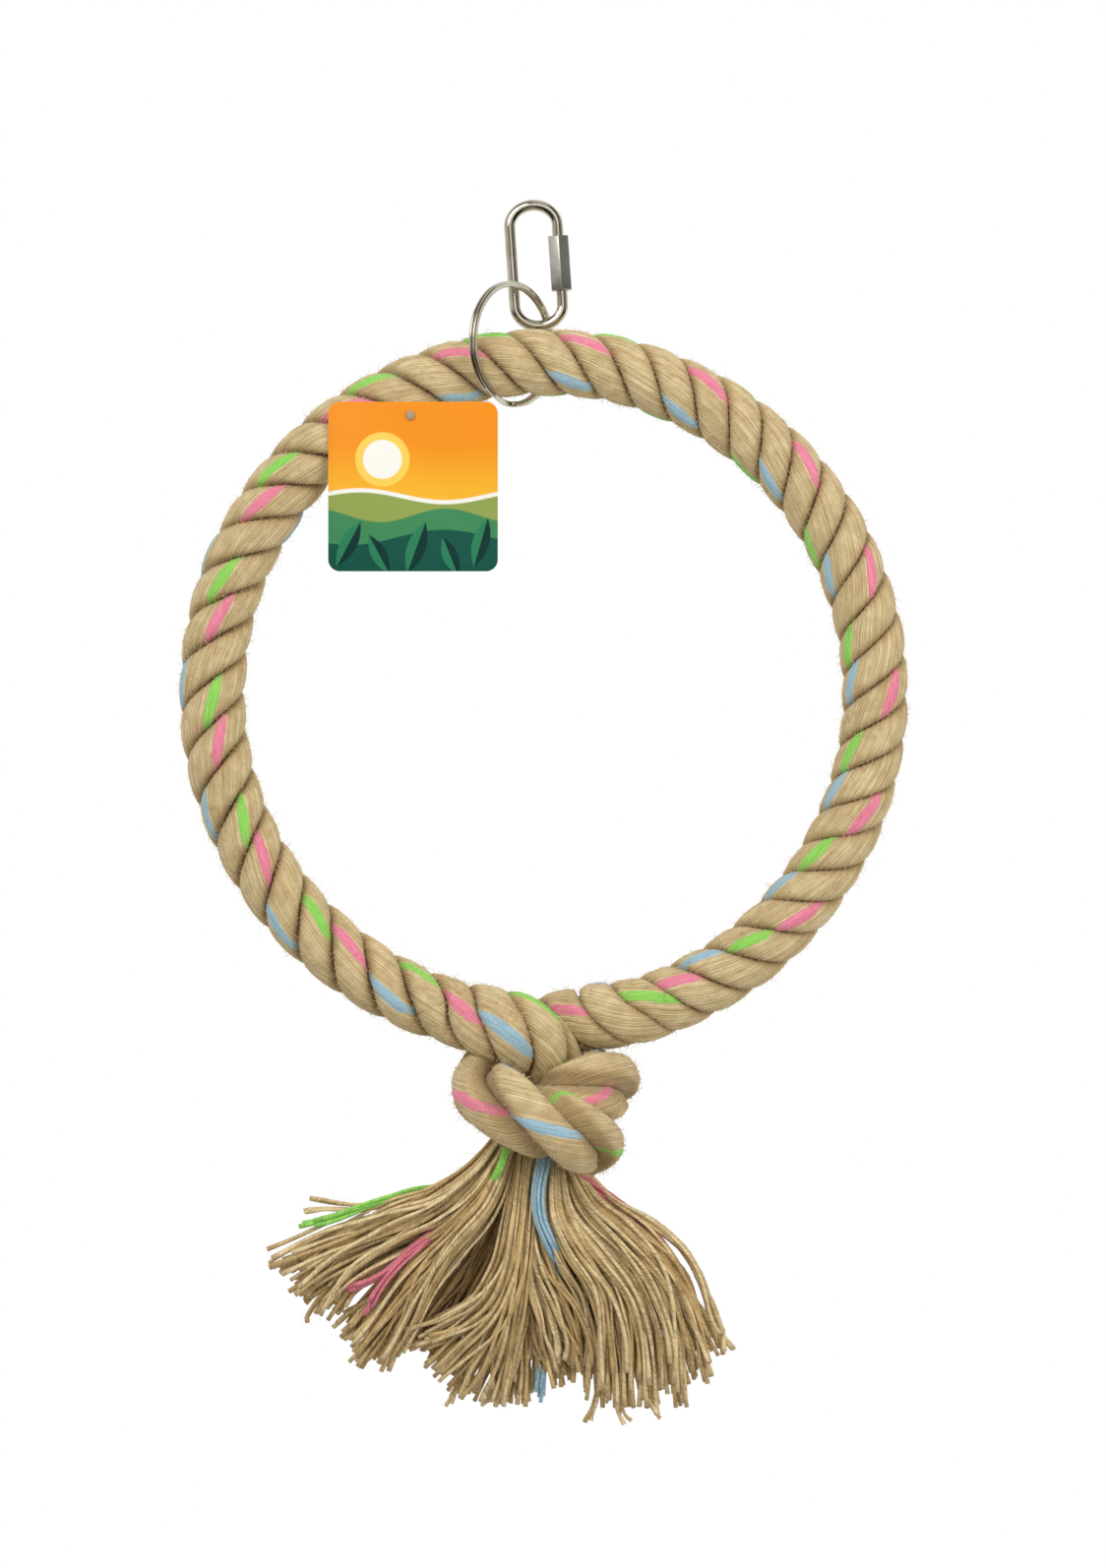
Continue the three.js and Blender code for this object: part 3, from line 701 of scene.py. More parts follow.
def rope_fuzz(name, count, start, stop, seed, reach, thickness, material):
    """Hairs all over the outside of a stretch of rope."""
    rng = np.random.default_rng(seed)
    sets = []
    for dye in strand_offsets:
        length = rng.uniform(start, stop, count // len(strand_offsets))
        angle = rng.uniform(-math.pi, math.pi, (len(length), 1))
        roots, round_strand = strand_surface(dye, length, angle, np.zeros_like(angle))
        proud = strand_surface(dye, length, angle, np.full_like(angle, mm))[0]
        ahead = strand_surface(dye, length + mm, angle, np.zeros_like(angle))[0]
        outside = np.cos(round_strand[:, 0]) > outer_side
        sets.append([part[outside, 0] for part in (roots, (proud - roots) / mm, (ahead - roots) / mm)])
    roots, outward, along = (np.concatenate(parts) for parts in zip(*sets))
    make_hairs(name, rng, roots, outward, unit(along), reach, thickness, material)


def fuzz_material():
    material, tree, shader = new_material("loose_fibre")
    place = node(tree, "ShaderNodeTexCoord")
    shade = range_node(tree, noise(tree, place.outputs["Object"], 400.0), 0.35, 0.65)
    tree.links.new(mix_colour(tree, shade, jute_mid, jute_pale), shader.inputs["Base Color"])
    shader.inputs["Roughness"].default_value = 0.7
    return material


fuzz = fuzz_material()


def make_rope():
    for dye in strand_offsets:
        material = strand_material(f"jute_strand_{dye}", dye, dye)
        make_strand(f"ring_yarns_{dye}", dye, 0, ring_length, f"ring_strand_{dye}", material)
        make_strand(f"left_end_yarns_{dye}", dye, rope_start, 0, f"left_end_strand_{dye}", material)
        later = strand_material(f"jute_right_end_{dye}", dye, tracer_later[dye])
        make_strand(f"right_end_yarns_{dye}", dye, ring_length, rope_end, f"right_end_strand_{dye}", later)
    stretches = {"ring": (0, ring_length, ring_nap, ring_strays),
                 "left_end": (rope_start, 0, end_nap, end_strays),
                 "right_end": (ring_length, rope_end, end_nap, end_strays)}
    for place, (name, (start, stop, nap, strays)) in enumerate(stretches.items()):
        rope_fuzz(f"{name}_nap", nap, start, stop, nap_seed + place, nap_reach, nap_thickness, fuzz)
        rope_fuzz(f"{name}_stray_hairs", strays, start, stop, stray_hair_seed + place, stray_reach,
                  stray_thickness, fuzz)


# Tassel: locks of loose yarn, each along guides of (across, towards the back, up) in mm from the knot
tassel_yarn_diameter = 1.3 * mm
tassel_yarn_sides = 6
tassel_yarn_rows = 26
yarns_in_guide = 31
clumps_in_guide = 7
clumping = 0.6
end_flare = 0.3
overrun_share = 0.35
yarn_drift = 0.5
drift_span = (0.2, 0.95)
widest_drift = 1.1
spread_stations = [0, 0.35, 1]
sideways_waves = [(0.9, 0.8 * mm), (0.4, 0.35 * mm)]
depth_waves = [(1.1, 0.6 * mm), (0.5, 0.3 * mm)]
sideways_flare = 1.5 * mm
depth_flare = 1.6 * mm
yarn_girth = (0.82, 1.12)
girth_waves = [(0.31, 0.06), (0.13, 0.05)]
end_flare_starts = 0.86
lock_width = np.array([1.6, 5, 6.5]) * mm
lock_depth = np.array([6.5, 8, 7]) * mm
lock_fray = 0.11
tracer_spread = np.array([1, 1, 0.9]) * mm
tracer_depth_share = 0.7
tracer_fray = 0.07
tracer_looseness = 0.4
yarns_in_stray = 2
stray_spread = np.array([0.5, 0.8, 1]) * mm
stray_fray = 0.1
stray_looseness = 0.6
tassel_hairs = 5000
first_hairy_row = 4
lock_seed = 101
stray_yarn_seed = 131
lock_guides = {
    "left_lock_green": [
        [(-13, 0, -36), (-23, -4, -49.5), (-37.5, -5, -60.5), (-54, -4, -67), (-72, -2, -74),
         (-90, 0, -83)],
        [(-12.5, 0, -37.5), (-24.5, -7, -53), (-37.5, -8, -63.5), (-53, -7, -70.5), (-69, -5, -80),
         (-83, -2, -91.5)],
        [(-11.5, 0, -39), (-23, -8, -57), (-34.5, -9, -67), (-48, -8, -75), (-63, -6, -85),
         (-74, -2, -98.5)],
        [(-11.5, 4, -38.5), (-24, 4, -54.5), (-39.5, 4, -65), (-54, 4, -73.5), (-70, 4, -83),
         (-81, 4, -92.5)]],
    "left_lock_pink": [
        [(-11, 0, -39), (-20, -8, -60), (-30, -9, -72), (-40.5, -8, -83.5), (-51, -5, -98),
         (-63, -1, -114)],
        [(-10, 0, -40), (-18.5, -8, -60.5), (-29.5, -9, -73), (-40, -8, -87.5), (-47, -5, -102),
         (-55, -1, -116)],
        [(-11, 6, -40.5), (-20, 6, -63.5), (-32.5, 6, -78.5), (-47, 5, -88.5), (-59, 4, -98.5),
         (-67.5, 3, -107.5)],
        [(-10.5, 7, -41), (-18.5, 8, -64), (-29, 8, -81), (-39.5, 7, -95), (-49, 5, -108)],
        [(-9, 7, -41), (-15, 8, -66), (-23, 8, -84.5), (-32, 7, -100), (-39.5, 6, -112)]],
    "left_lock_blue": [
        [(-7.5, 0, -41), (-10, -6, -64.5), (-12.5, -9, -80), (-21, -9, -94.5), (-33.5, -6, -103),
         (-45, -2, -109)],
        [(-6, 0, -41), (-8.5, -7, -66), (-10.5, -9, -83), (-17, -9, -97.5), (-27.5, -6, -110),
         (-36, -2, -119.5)],
        [(-4, 0, -42), (-7.5, -8, -69.5), (-10, -10, -86.5), (-14.5, -9, -101.5), (-20.5, -6, -115),
         (-26, -2, -126.5)],
        [(-7, 7, -42), (-12.5, 9, -67.5), (-20, 9, -86.5), (-28.5, 8, -103.5), (-35.5, 6, -117.5)]],
    "right_lock_blue": [
        [(-2, 0, -43), (-5.5, -6, -69.5), (-8, -8, -90), (-10.5, -7, -106.5), (-13.5, -4, -120.5),
         (-15.5, 0, -129.5)],
        [(-1, 2, -44), (-3, 4, -69.5), (-5, 5, -90), (-6.5, 4, -110), (-8.5, 3, -128.5)],
        [(-1, 0, -44.5), (-5, -4, -69.5), (-4, -6, -86.5), (0, -6, -100), (2, -4, -110), (2.5, -1, -118)],
        [(-1, 0, -44.5), (-3.5, -4, -67.5), (1, -7, -82.5), (8, -7, -94.5), (12.5, -5, -106.5),
         (13.5, -1, -117)],
        [(0, 7, -44.5), (-1, 8, -69.5), (1, 8, -90), (3, 7, -108), (4.5, 5, -123)]],
    "right_lock_green": [
        [(3, 0, -45.5), (3, -8, -63), (8.5, -10, -77.5), (15.5, -9, -90), (18, -6, -106.5),
         (18, -2, -127.5)],
        [(4.5, 0, -46), (6, -7, -64), (13.5, -9, -78.5), (22.5, -9, -91), (26, -6, -106.5),
         (27, -2, -129.5)],
        [(6, 0, -46.5), (9.5, -6, -63), (19.5, -9, -76), (29.5, -9, -89.5), (34.5, -6, -106.5),
         (36.5, -2, -129.5)],
        [(2, 8, -45), (5, 9, -66), (9.5, 9, -85), (12, 8, -104), (13, 6, -121)],
        [(4.5, 7, -46.5), (10, 9, -66), (16, 9, -83), (21, 8, -101.5), (23.5, 6, -123.5)],
        [(6, 8, -47.5), (15.5, 9, -65), (26, 9, -80.5), (33, 8, -98.5), (37, 6, -123)]],
    "right_lock_pink": [
        [(8, 0, -47.5), (14.5, -5, -60.5), (26.5, -8, -72.5), (38, -8, -86.5), (44, -6, -103.5),
         (47, -2, -127)],
        [(9.5, 1, -48), (18, -3, -62.5), (30.5, -6, -74), (42, -6, -87.5), (48.5, -4, -102.5),
         (52, -1, -121)],
        [(11, 2, -48.5), (22, 0, -62), (35.5, -2, -72.5), (47, -2, -85.5), (53, -1, -101), (58, 0, -112.5)],
        [(9.5, 8, -48.5), (20.5, 8, -65), (33.5, 8, -80), (43, 7, -96.5), (48.5, 5, -119)]],
}
# Dyed yarns of a lock: the dye, how many, how wide they lie in mm, and their guide
tracer_guides = {
    "left_lock_green": [
        ("green", 7, 1.15, [
            (-11, -7, -35), (-13, -14, -42), (-15.5, -14, -49), (-19, -8, -54.5), (-23, 2, -57),
            (-34.5, 3, -56), (-43.5, -1, -56.5), (-52, -6, -58.8), (-61.5, -8, -61.8), (-72.5, -7, -65.8),
            (-83, -5, -68.3)])],
    "left_lock_pink": [
        ("dull_pink", 4, 1.2, [
            (-11, 0, -41), (-22.5, 0, -60), (-33, -7, -68), (-39.5, -12.5, -72), (-45.5, -13.5, -76.5),
            (-51.5, -12.5, -82.5), (-58.5, -11.5, -87), (-66.5, -10, -90)]),
        ("dull_pink", 4, 1.2, [
            (-11, 0, -41), (-22.5, 0, -60), (-34, -7, -69.5), (-41, -12.5, -74), (-49, -13.5, -81),
            (-55.5, -12.5, -89), (-60.5, -10, -98)])],
    "right_lock_blue": [
        ("blue", 12, 2.3, [
            (0.5, -6, -39), (0.3, -13, -46), (-1.6, -15, -56), (-1, -15, -65), (2, -14.5, -72.5),
            (5, -10, -80.5), (3, 2, -96.5), (0, 2, -113.5), (-2, 0, -127.5)])],
    "right_lock_pink": [
        ("dull_pink", 7, 1.5, [
            (7.5, 0, -44), (11, -4, -50), (20, -2, -57.3), (28.5, 1, -63.8), (39, 6, -74), (48, 9, -88)])],
}
# Single yarns that stray from the tassel
stray_guides = [
    [(-30, 2, -55), (-45, 2, -58), (-57, 1, -61), (-68, 0, -61.5), (-81, 0, -59.5)],
    [(-32, 2, -56), (-48, 1, -60), (-60, 0, -63), (-71, 0, -63), (-83, 0, -64.5)],
    [(-40, 0, -76), (-60, 0, -84), (-74, -1, -91), (-81, -1, -98), (-83, -1, -101)],
    [(-22, 0, -104), (-26, 0, -116), (-29.5, 0, -124), (-32, 0, -131)],
    [(-10, 0, -110), (-12, 0, -120), (-16, 0, -127), (-21, 0, -131)],
    [(25, 0, -110), (25, 0, -124), (26, 0, -132), (30, 0, -137)],
    [(20, 0, -110), (19, 0, -122), (18, 0, -130), (15, 0, -136.5)],
    [(33, 0, -105), (33, 0, -118), (35, 0, -127), (41, 0, -134)],
    [(50, 0, -92), (57, 0, -102), (61, 0, -108), (64, 0, -113)],
    [(52, 0, -86), (58, 0, -96), (60, 0, -104), (61, 0, -113)],
]


def yarn_paths(rng, guide, count, width, depth, fray, loose=1.0):
    """Lines of loose yarns that keep together along a guide, spread and cross as they go and end unevenly."""
    line = smooth_line(np.array(guide) * mm, tassel_yarn_rows)
    share = np.linspace(0, 1, tassel_yarn_rows)
    reach = rng.uniform(1 - fray, 1 + overrun_share * fray, (count, 1))
    place = share * reach * (tassel_yarn_rows - 1)
    rows = np.arange(tassel_yarn_rows)
    paths = look_up(place, rows, line)
    overrun = np.clip(place - rows[-1], 0, None)[..., None]
    paths = paths + overrun * (line[-1] - line[-2])
    heading = np.gradient(line, axis=0)
    side = unit(np.stack([-heading[:, 2], np.zeros(len(line)), heading[:, 0]], -1))
    side_here = look_up(place, rows, side)
    spot = np.sqrt(rng.uniform(0, 1, count))
    spin = rng.uniform(0, full_turn, count)
    drift = rng.normal(0, yarn_drift, (2, count, 1)) * smooth(share, *drift_span) * loose
    offset = np.stack([spot * np.cos(spin), spot * np.sin(spin)])[..., None] + drift
    offset = np.clip(offset, -widest_drift, widest_drift)
    clump = rng.integers(0, clumps_in_guide, count)
    for index in range(clumps_in_guide):
        members = clump == index
        gathered = offset[:, members].mean(1, keepdims=True) if members.any() else 0
        offset[:, members] += (gathered - offset[:, members]) * smooth(share, 0.5, 1) * clumping
    across = offset[0] * np.interp(share, spread_stations, width)
    inward = offset[1] * np.interp(share, spread_stations, depth)
    wave = wander(rng, count, share, sideways_waves).T * share * loose
    flare = rng.normal(0, 1, (count, 1)) * share ** 4 * sideways_flare * loose
    paths = paths + side_here * (across + wave + flare)[..., None]
    lean = wander(rng, count, share, depth_waves).T * share
    paths[..., 1] += inward + lean + rng.normal(0, 1, (count, 1)) * share ** 3 * depth_flare * loose
    return knot_origin + paths


def yarn_tubes(paths, radius):
    """Closed tubes along the paths: points, faces and the yarn map of all of them together."""
    count, rows, _ = paths.shape
    heading = unit(np.gradient(paths, axis=1))
    side = unit(np.cross(heading, np.array([0.0, 1.0, 0.0])))
    up = np.cross(heading, side)
    turn = circle_angles(tassel_yarn_sides)
    ring = side[:, :, None] * np.cos(turn)[:, None] + up[:, :, None] * np.sin(turn)[:, None]
    points = (paths[:, :, None] + ring * radius[:, :, None, None]).reshape(-1, 3)
    one = tube_faces(rows, tassel_yarn_sides)
    quads = (one + (np.arange(count) * rows * tassel_yarn_sides)[:, None, None]).reshape(-1, 4)
    first = (np.arange(count) * rows * tassel_yarn_sides)[:, None]
    ends = np.concatenate([first + np.arange(tassel_yarn_sides)[::-1],
                           first + (rows - 1) * tassel_yarn_sides + np.arange(tassel_yarn_sides)])
    steps = np.linalg.norm(np.diff(paths, axis=1), axis=2)
    along = np.concatenate([np.zeros((count, 1)), np.cumsum(steps, 1)], 1) / mm
    left = one[:, 0] % tassel_yarn_sides / tassel_yarn_sides
    low = one[:, 0] // tassel_yarn_sides
    wide = 1 / tassel_yarn_sides
    ids = np.arange(count)[:, None]
    corners = [(left, low), (left + wide, low), (left + wide, low + 1), (left, low + 1)]
    uv = np.stack([np.stack([ids + across * 0.98 + 0.01, along[:, row]], -1) for across, row in corners], 2)
    cap_uv = np.zeros((ends.size, 2))
    return points, quads.tolist() + ends.tolist(), np.concatenate([uv.reshape(-1, 2), cap_uv])


def yarn_radius(rng, count):
    """Thickness of loose yarns along their length: uneven, with cut ends that have come untwisted."""
    own = tassel_yarn_diameter / 2 * rng.uniform(*yarn_girth, (count, 1))
    share = np.linspace(0, 1, tassel_yarn_rows)
    uneven = 1 + wander(rng, count, share, girth_waves).T
    return own * uneven * (1 + end_flare * smooth(share, end_flare_starts, 1))


def make_lock(name, guides, material, dyed, seed):
    """One lock of the tassel, with its dyed yarns; gives back the lines of its plain yarns."""
    rng = np.random.default_rng(seed)
    paths = np.concatenate([yarn_paths(rng, guide, yarns_in_guide, lock_width, lock_depth, lock_fray)
                            for guide in guides])
    piece = new_piece(f"tassel_{name}_yarns", *yarn_tubes(paths, yarn_radius(rng, len(paths))))
    dress(piece, "rope_ring", "jute", material, f"tassel_{name}")
    tracers = tracer_guides.get(name, [])
    if tracers:
        dyed_paths = np.concatenate([
            yarn_paths(rng, guide, count, wide * tracer_spread, tracer_depth_share * wide * tracer_spread,
                       tracer_fray, tracer_looseness) for _, count, wide, guide in tracers])
        piece = new_piece(f"tassel_{name}_tracer", *yarn_tubes(dyed_paths, yarn_radius(rng, len(dyed_paths))))
        dress(piece, "rope_ring", "jute", dyed[tracers[0][0]], f"tassel_{name}")
    return paths


def tassel_material(dye=None):
    material, tree, shader = new_material(f"loose_jute_{dye or 'natural'}")
    uv = node(tree, "ShaderNodeUVMap", uv_map="yarn")
    fibre = node(tree, "ShaderNodeGroup", {"Map": uv.outputs[0], "Twist": tassel_twist}, node_tree=yarn_fibre)
    if dye:
        base = dyed_jute(tree, fibre, dye)
    else:
        base = natural_jute(tree, fibre, loose_pale, loose_mid, loose_brown)
    finish_fibre(tree, shader, fibre, base)
    return material


def make_tassel():
    plain = tassel_material()
    dyed = {dye: tassel_material(dye) for dye in ("green", "blue", "dull_pink")}
    locks = [make_lock(name, guides, plain, dyed, lock_seed + place)
             for place, (name, guides) in enumerate(lock_guides.items())]
    rng = np.random.default_rng(stray_yarn_seed)
    strays = np.concatenate([yarn_paths(rng, guide, yarns_in_stray, stray_spread, stray_spread, stray_fray,
                                        stray_looseness) for guide in stray_guides])
    piece = new_piece("tassel_stray_yarns", *yarn_tubes(strays, yarn_radius(rng, len(strays))))
    dress(piece, "rope_ring", "jute", plain)
    tassel_fuzz(rng, np.concatenate(locks + [strays]))


def tassel_fuzz(rng, paths):
    """Hairs that stand off the loose yarns."""
    yarn = rng.integers(0, len(paths), tassel_hairs)
    row = rng.integers(first_hairy_row, tassel_yarn_rows - 1, tassel_hairs)
    along = unit(paths[yarn, row + 1] - paths[yarn, row])
    outward = unit(np.cross(along, rng.normal(0, 1, (tassel_hairs, 3))))
    roots = paths[yarn, row] + outward * tassel_yarn_diameter / 2
    make_hairs("tassel_stray_hairs", rng, roots, outward, along, stray_reach, stray_thickness, fuzz)


# Screw link and split ring. The link's length, width and wire are as photographed: the solid has a thinner
# wire and wider bows
link_length = 45.7 * mm
link_width = 20.4 * mm
link_wire = 3.9 * mm
link_leg = 27.4 * mm
link_tilt = math.radians(3.8)
link_mouth = 6 * mm
nut_length = 18.9 * mm
nut_across_flats = 7 * mm
nut_top_drop = 9.3 * mm
nut_grip = 2.2 * mm
nut_bore = link_wire + 0.7 * mm
thread_pitch = 0.7 * mm
thread_depth = 0.16 * mm
thread_from_nut_top = 0.6 * mm
thread_from_nut_foot = 1.2 * mm
link_sides = 28
bow_samples = 48
long_leg_samples = 24
short_leg_samples = 60
stub_samples = 40
link_end_taper = 0.82
nut_bevel = 0.35 * mm
hole_sides = 40
bow_width = (link_width - link_wire) / 2
bow_height = (link_length - link_wire - link_leg) / 2
upper_bow_z = link_wire / 2 - bow_height
lower_bow_z = upper_bow_z - link_leg
stub_end_z = -nut_top_drop - nut_grip
leg_end_z = stub_end_z - link_mouth


def tilt(points):
    """Leans points of the link's own plane the way the link hangs."""
    points = np.asarray(points, float)
    x, z = points[..., 0], points[..., 2]
    cos, sin = math.cos(link_tilt), math.sin(link_tilt)
    return np.stack([x * cos - z * sin, points[..., 1], x * sin + z * cos], -1)


def sweep(name, line, normal, section):
    """A closed bar along a line: section is rows of (along the normal, across it), one row for each point."""
    heading = unit(np.gradient(line, axis=0))
    normal = unit(normal - heading * np.sum(normal * heading, 1, keepdims=True))
    across = np.cross(heading, normal)
    points = line[:, None] + normal[:, None] * section[..., :1] + across[:, None] * section[..., 1:]
    rows, columns = section.shape[:2]
    faces = tube_faces(rows, columns).tolist() + tube_ends(rows, columns)
    return new_piece(name, points.reshape(-1, 3), faces)


def link_line():
    leg = np.linspace(leg_end_z, lower_bow_z, short_leg_samples)[:-1]
    turn = np.linspace(0, math.pi, bow_samples)
    side = np.linspace(lower_bow_z, upper_bow_z, long_leg_samples)[1:-1]
    stub = np.linspace(upper_bow_z, stub_end_z, stub_samples)[1:]
    x = [np.full(len(leg), bow_width), bow_width * np.cos(turn), np.full(len(side), -bow_width),
         -bow_width * np.cos(turn), np.full(len(stub), bow_width)]
    z = [leg, lower_bow_z - bow_height * np.sin(turn), side, upper_bow_z + bow_height * np.sin(turn), stub]
    x, z = np.concatenate(x), np.concatenate(z)
    return np.stack([x, np.zeros(len(x)), z], -1)


def make_link(material):
    line = link_line()
    turn = circle_angles(link_sides)
    threaded = ((line[:, 0] > bow_width * 0.999) & (line[:, 2] < -nut_top_drop - thread_from_nut_top)
                & (line[:, 2] > -nut_top_drop - nut_length + thread_from_nut_foot))[:, None]
    phase = line[:, 2:] / thread_pitch * full_turn + turn
    radius = link_wire / 2 - np.where(threaded, thread_depth * (0.5 + 0.5 * np.cos(phase)), 0)
    radius[[0, -1]] *= link_end_taper
    section = np.stack([radius * np.cos(turn), radius * np.sin(turn)], -1)
    normal = np.tile([0.0, 1.0, 0.0], (len(line), 1))
    piece = sweep("screw_link_wire", tilt(line), normal, section)
    dress(piece, "link", "nickel", material, "quick_link")


def only(piece):
    bpy.ops.object.select_all(action="DESELECT")
    piece.select_set(True)
    bpy.context.view_layer.objects.active = piece


def apply_modifier(piece, kind, **settings):
    only(piece)
    modifier = piece.modifiers.new(kind.lower(), kind)
    for key, value in settings.items():
        setattr(modifier, key, value)
    bpy.ops.object.modifier_apply(modifier=modifier.name)


def bore(piece, radius, depth, location, rotation=(0, 0, 0)):
    """Cuts a round hole through a piece."""
    bpy.ops.object.select_all(action="DESELECT")
    bpy.ops.mesh.primitive_cylinder_add(vertices=hole_sides, radius=radius, depth=depth,
                                        location=location, rotation=rotation)
    cutter = bpy.context.object
    apply_modifier(piece, "BOOLEAN", object=cutter, operation="DIFFERENCE", solver="EXACT")
    bpy.data.objects.remove(cutter)


def make_nut(material):
    corner = nut_across_flats / 2 / math.cos(math.pi / 6)
    bpy.ops.object.select_all(action="DESELECT")
    middle = (bow_width, 0, -nut_top_drop - nut_length / 2)
    bpy.ops.mesh.primitive_cylinder_add(vertices=6, radius=corner, depth=nut_length, location=middle)
    nut = bpy.context.object
    nut.name = "screw_link_nut"
    bpy.ops.object.transform_apply(location=True, rotation=True, scale=True)
    apply_modifier(nut, "BEVEL", width=nut_bevel, segments=3, limit_method="ANGLE")
    bore(nut, nut_bore / 2, 2 * nut_length, middle)
    for vertex in nut.data.vertices:
        vertex.co = tilt(np.array(vertex.co))
    only(nut)
    bpy.ops.object.shade_smooth_by_angle(angle=math.radians(35))
    dress(nut, "nut", "nut_steel", material, "quick_link_nut")


split_turn = math.radians(50)
split_wire_radial = 2 * mm
split_wire_axial = 1 * mm
split_turn_gap = 0.5 * mm
split_step_angle = 250
split_step_span = 30
split_end_gap = 3
split_rope_clearance = 1.1 * mm
split_lift = 6.6 * mm
split_sides = 20
split_samples = 300
split_end_taper = 0.8


def make_split_ring(material):
    along = np.array([math.cos(split_turn), math.sin(split_turn), 0])
    axis = np.array([-math.sin(split_turn), math.cos(split_turn), 0])
    centre = rope_at_split + np.array([0, 0, split_lift])
    pitch = split_wire_axial + split_turn_gap
    turn = np.arange(0, full_turn, 0.02)
    reach_along = np.abs(rope_radius / math.sin(split_turn) * np.cos(turn))
    reach_along = reach_along + (pitch + split_wire_axial) / 2 / math.tan(split_turn)
    reach = np.hypot(reach_along, rope_radius * np.sin(turn) - split_lift).max()
    radius = reach + split_rope_clearance + split_wire_radial / 2
    trim = split_step_span / 2 + split_end_gap
    angle = np.linspace(trim, 720 - trim, split_samples)
    rise = smooth(angle, 360 - split_step_span / 2, 360 + split_step_span / 2)
    swing = np.radians(split_step_angle + angle)
    normal = along * np.cos(swing)[:, None] + np.array([0, 0, 1]) * np.sin(swing)[:, None]
    line = centre + normal * radius + axis * ((rise - 0.5) * pitch)[:, None]
    corner = circle_angles(split_sides)
    oval = (np.abs(np.cos(corner)) ** 4 + np.abs(np.sin(corner)) ** 4) ** -0.25
    section = np.stack([oval * np.cos(corner) * split_wire_radial / 2,
                        oval * np.sin(corner) * split_wire_axial / 2], -1)
    section = np.tile(section, (len(line), 1, 1))
    section[[0, -1]] *= split_end_taper
    piece = sweep("split_ring_coil", line, normal, section)
    dress(piece, "split_ring", "nickel", material, "split_ring")


def worn_metal_group():
    """Fine drawn scratches and soft handling marks on plated metal."""
    group = bpy.data.node_groups.new("worn_metal", "ShaderNodeTree")
    group.interface.new_socket("Scale", in_out="INPUT", socket_type="NodeSocketFloat")
    for name in ("Scratch", "Smudge"):
        group.interface.new_socket(name, in_out="OUTPUT", socket_type="NodeSocketFloat")
    enter = node(group, "NodeGroupInput")
    leave = node(group, "NodeGroupOutput")
    place = node(group, "ShaderNodeTexCoord")
    stretched = node(group, "ShaderNodeMapping", {"Vector": place.outputs["Object"], "Scale": (1, 1, 0.12)})
    fine = math_node(group, "MULTIPLY", enter.outputs["Scale"], 12.0)
    scratch = noise(group, stretched.outputs[0], fine, 4.0)
    smudge = noise(group, place.outputs["Object"], enter.outputs["Scale"], 3.0)
    group.links.new(scratch, leave.inputs["Scratch"])
    group.links.new(smudge, leave.inputs["Smudge"])
    return group


def metal_material(name, pale, dark, rough_low, rough_high, bump, worn):
    material, tree, shader = new_material(name)
    marks = node(tree, "ShaderNodeGroup", {"Scale": 160.0}, node_tree=worn)
    shade = range_node(tree, marks.outputs["Smudge"], 0.3, 0.7)
    tree.links.new(mix_colour(tree, shade, dark, pale), shader.inputs["Base Color"])
    rough = range_node(tree, marks.outputs["Scratch"], 0.3, 0.75, rough_low, rough_high)
    tree.links.new(rough, shader.inputs["Roughness"])
    raised = node(tree, "ShaderNodeBump", {"Strength": bump, "Distance": 0.05 * mm,
                                           "Height": marks.outputs["Scratch"]})
    tree.links.new(raised.outputs[0], shader.inputs["Normal"])
    shader.inputs["Metallic"].default_value = 1.0
    return material


nickel_pale = colour(210, 204, 188)
nickel_dark = colour(188, 180, 162)
zinc_pale = colour(208, 206, 197)
zinc_dark = colour(190, 188, 179)
nickel_roughness = (0.06, 0.14)
zinc_roughness = (0.26, 0.36)


def make_hardware():
    worn = worn_metal_group()
    nickel = metal_material("polished_nickel", nickel_pale, nickel_dark, *nickel_roughness, 0.05, worn)
    satin = metal_material("satin_zinc", zinc_pale, zinc_dark, *zinc_roughness, 0.08, worn)
    make_link(nickel)
    make_split_ring(nickel)
    make_nut(satin)
    dress_solid("core_hoop", satin)


# Card tag and its pin
tag_side = 57.8 * mm
tag_corner = 4 * mm
tag_hole_from_left = 28 * mm
tag_hole_from_top = 4.7 * mm
tag_hole_diameter = 2.4 * mm
tag_rim_bevel = 0.12 * mm
card_white = colour(246, 243, 234)
card_bare = colour(228, 218, 198)
sky_low = colour(246, 184, 46)
sky_high = colour(244, 146, 26)
sun_glow = colour(248, 208, 90)
leaf_dark = colour(8, 54, 50)
leaf_light = colour(44, 128, 88)
nylon_dark = colour(158, 140, 112)
nylon_pale = colour(184, 167, 138)


def make_tag():
    low, high = (np.array(corner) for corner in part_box("hang_tag"))
    middle = (low + high) / 2
    bpy.ops.object.select_all(action="DESELECT")
    bpy.ops.mesh.primitive_cube_add(size=1, location=middle)
    tag = bpy.context.object
    tag.name = "card_tag"
    tag.scale = high - low
    bpy.ops.object.transform_apply(location=True, rotation=True, scale=True)
    bevel_corners(tag, tag_corner)
    apply_modifier(tag, "BEVEL", width=tag_rim_bevel, segments=2, limit_method="ANGLE")
    hole = (low[0] + tag_hole_from_left, middle[1], high[2] - tag_hole_from_top)
    bore(tag, tag_hole_diameter / 2, 10 * mm, hole, (math.pi / 2, 0, 0))
    only(tag)
    bpy.ops.object.shade_smooth_by_angle(angle=math.radians(30))
    dress(tag, "tag", "card", tag_material(low, middle), "hang_tag")


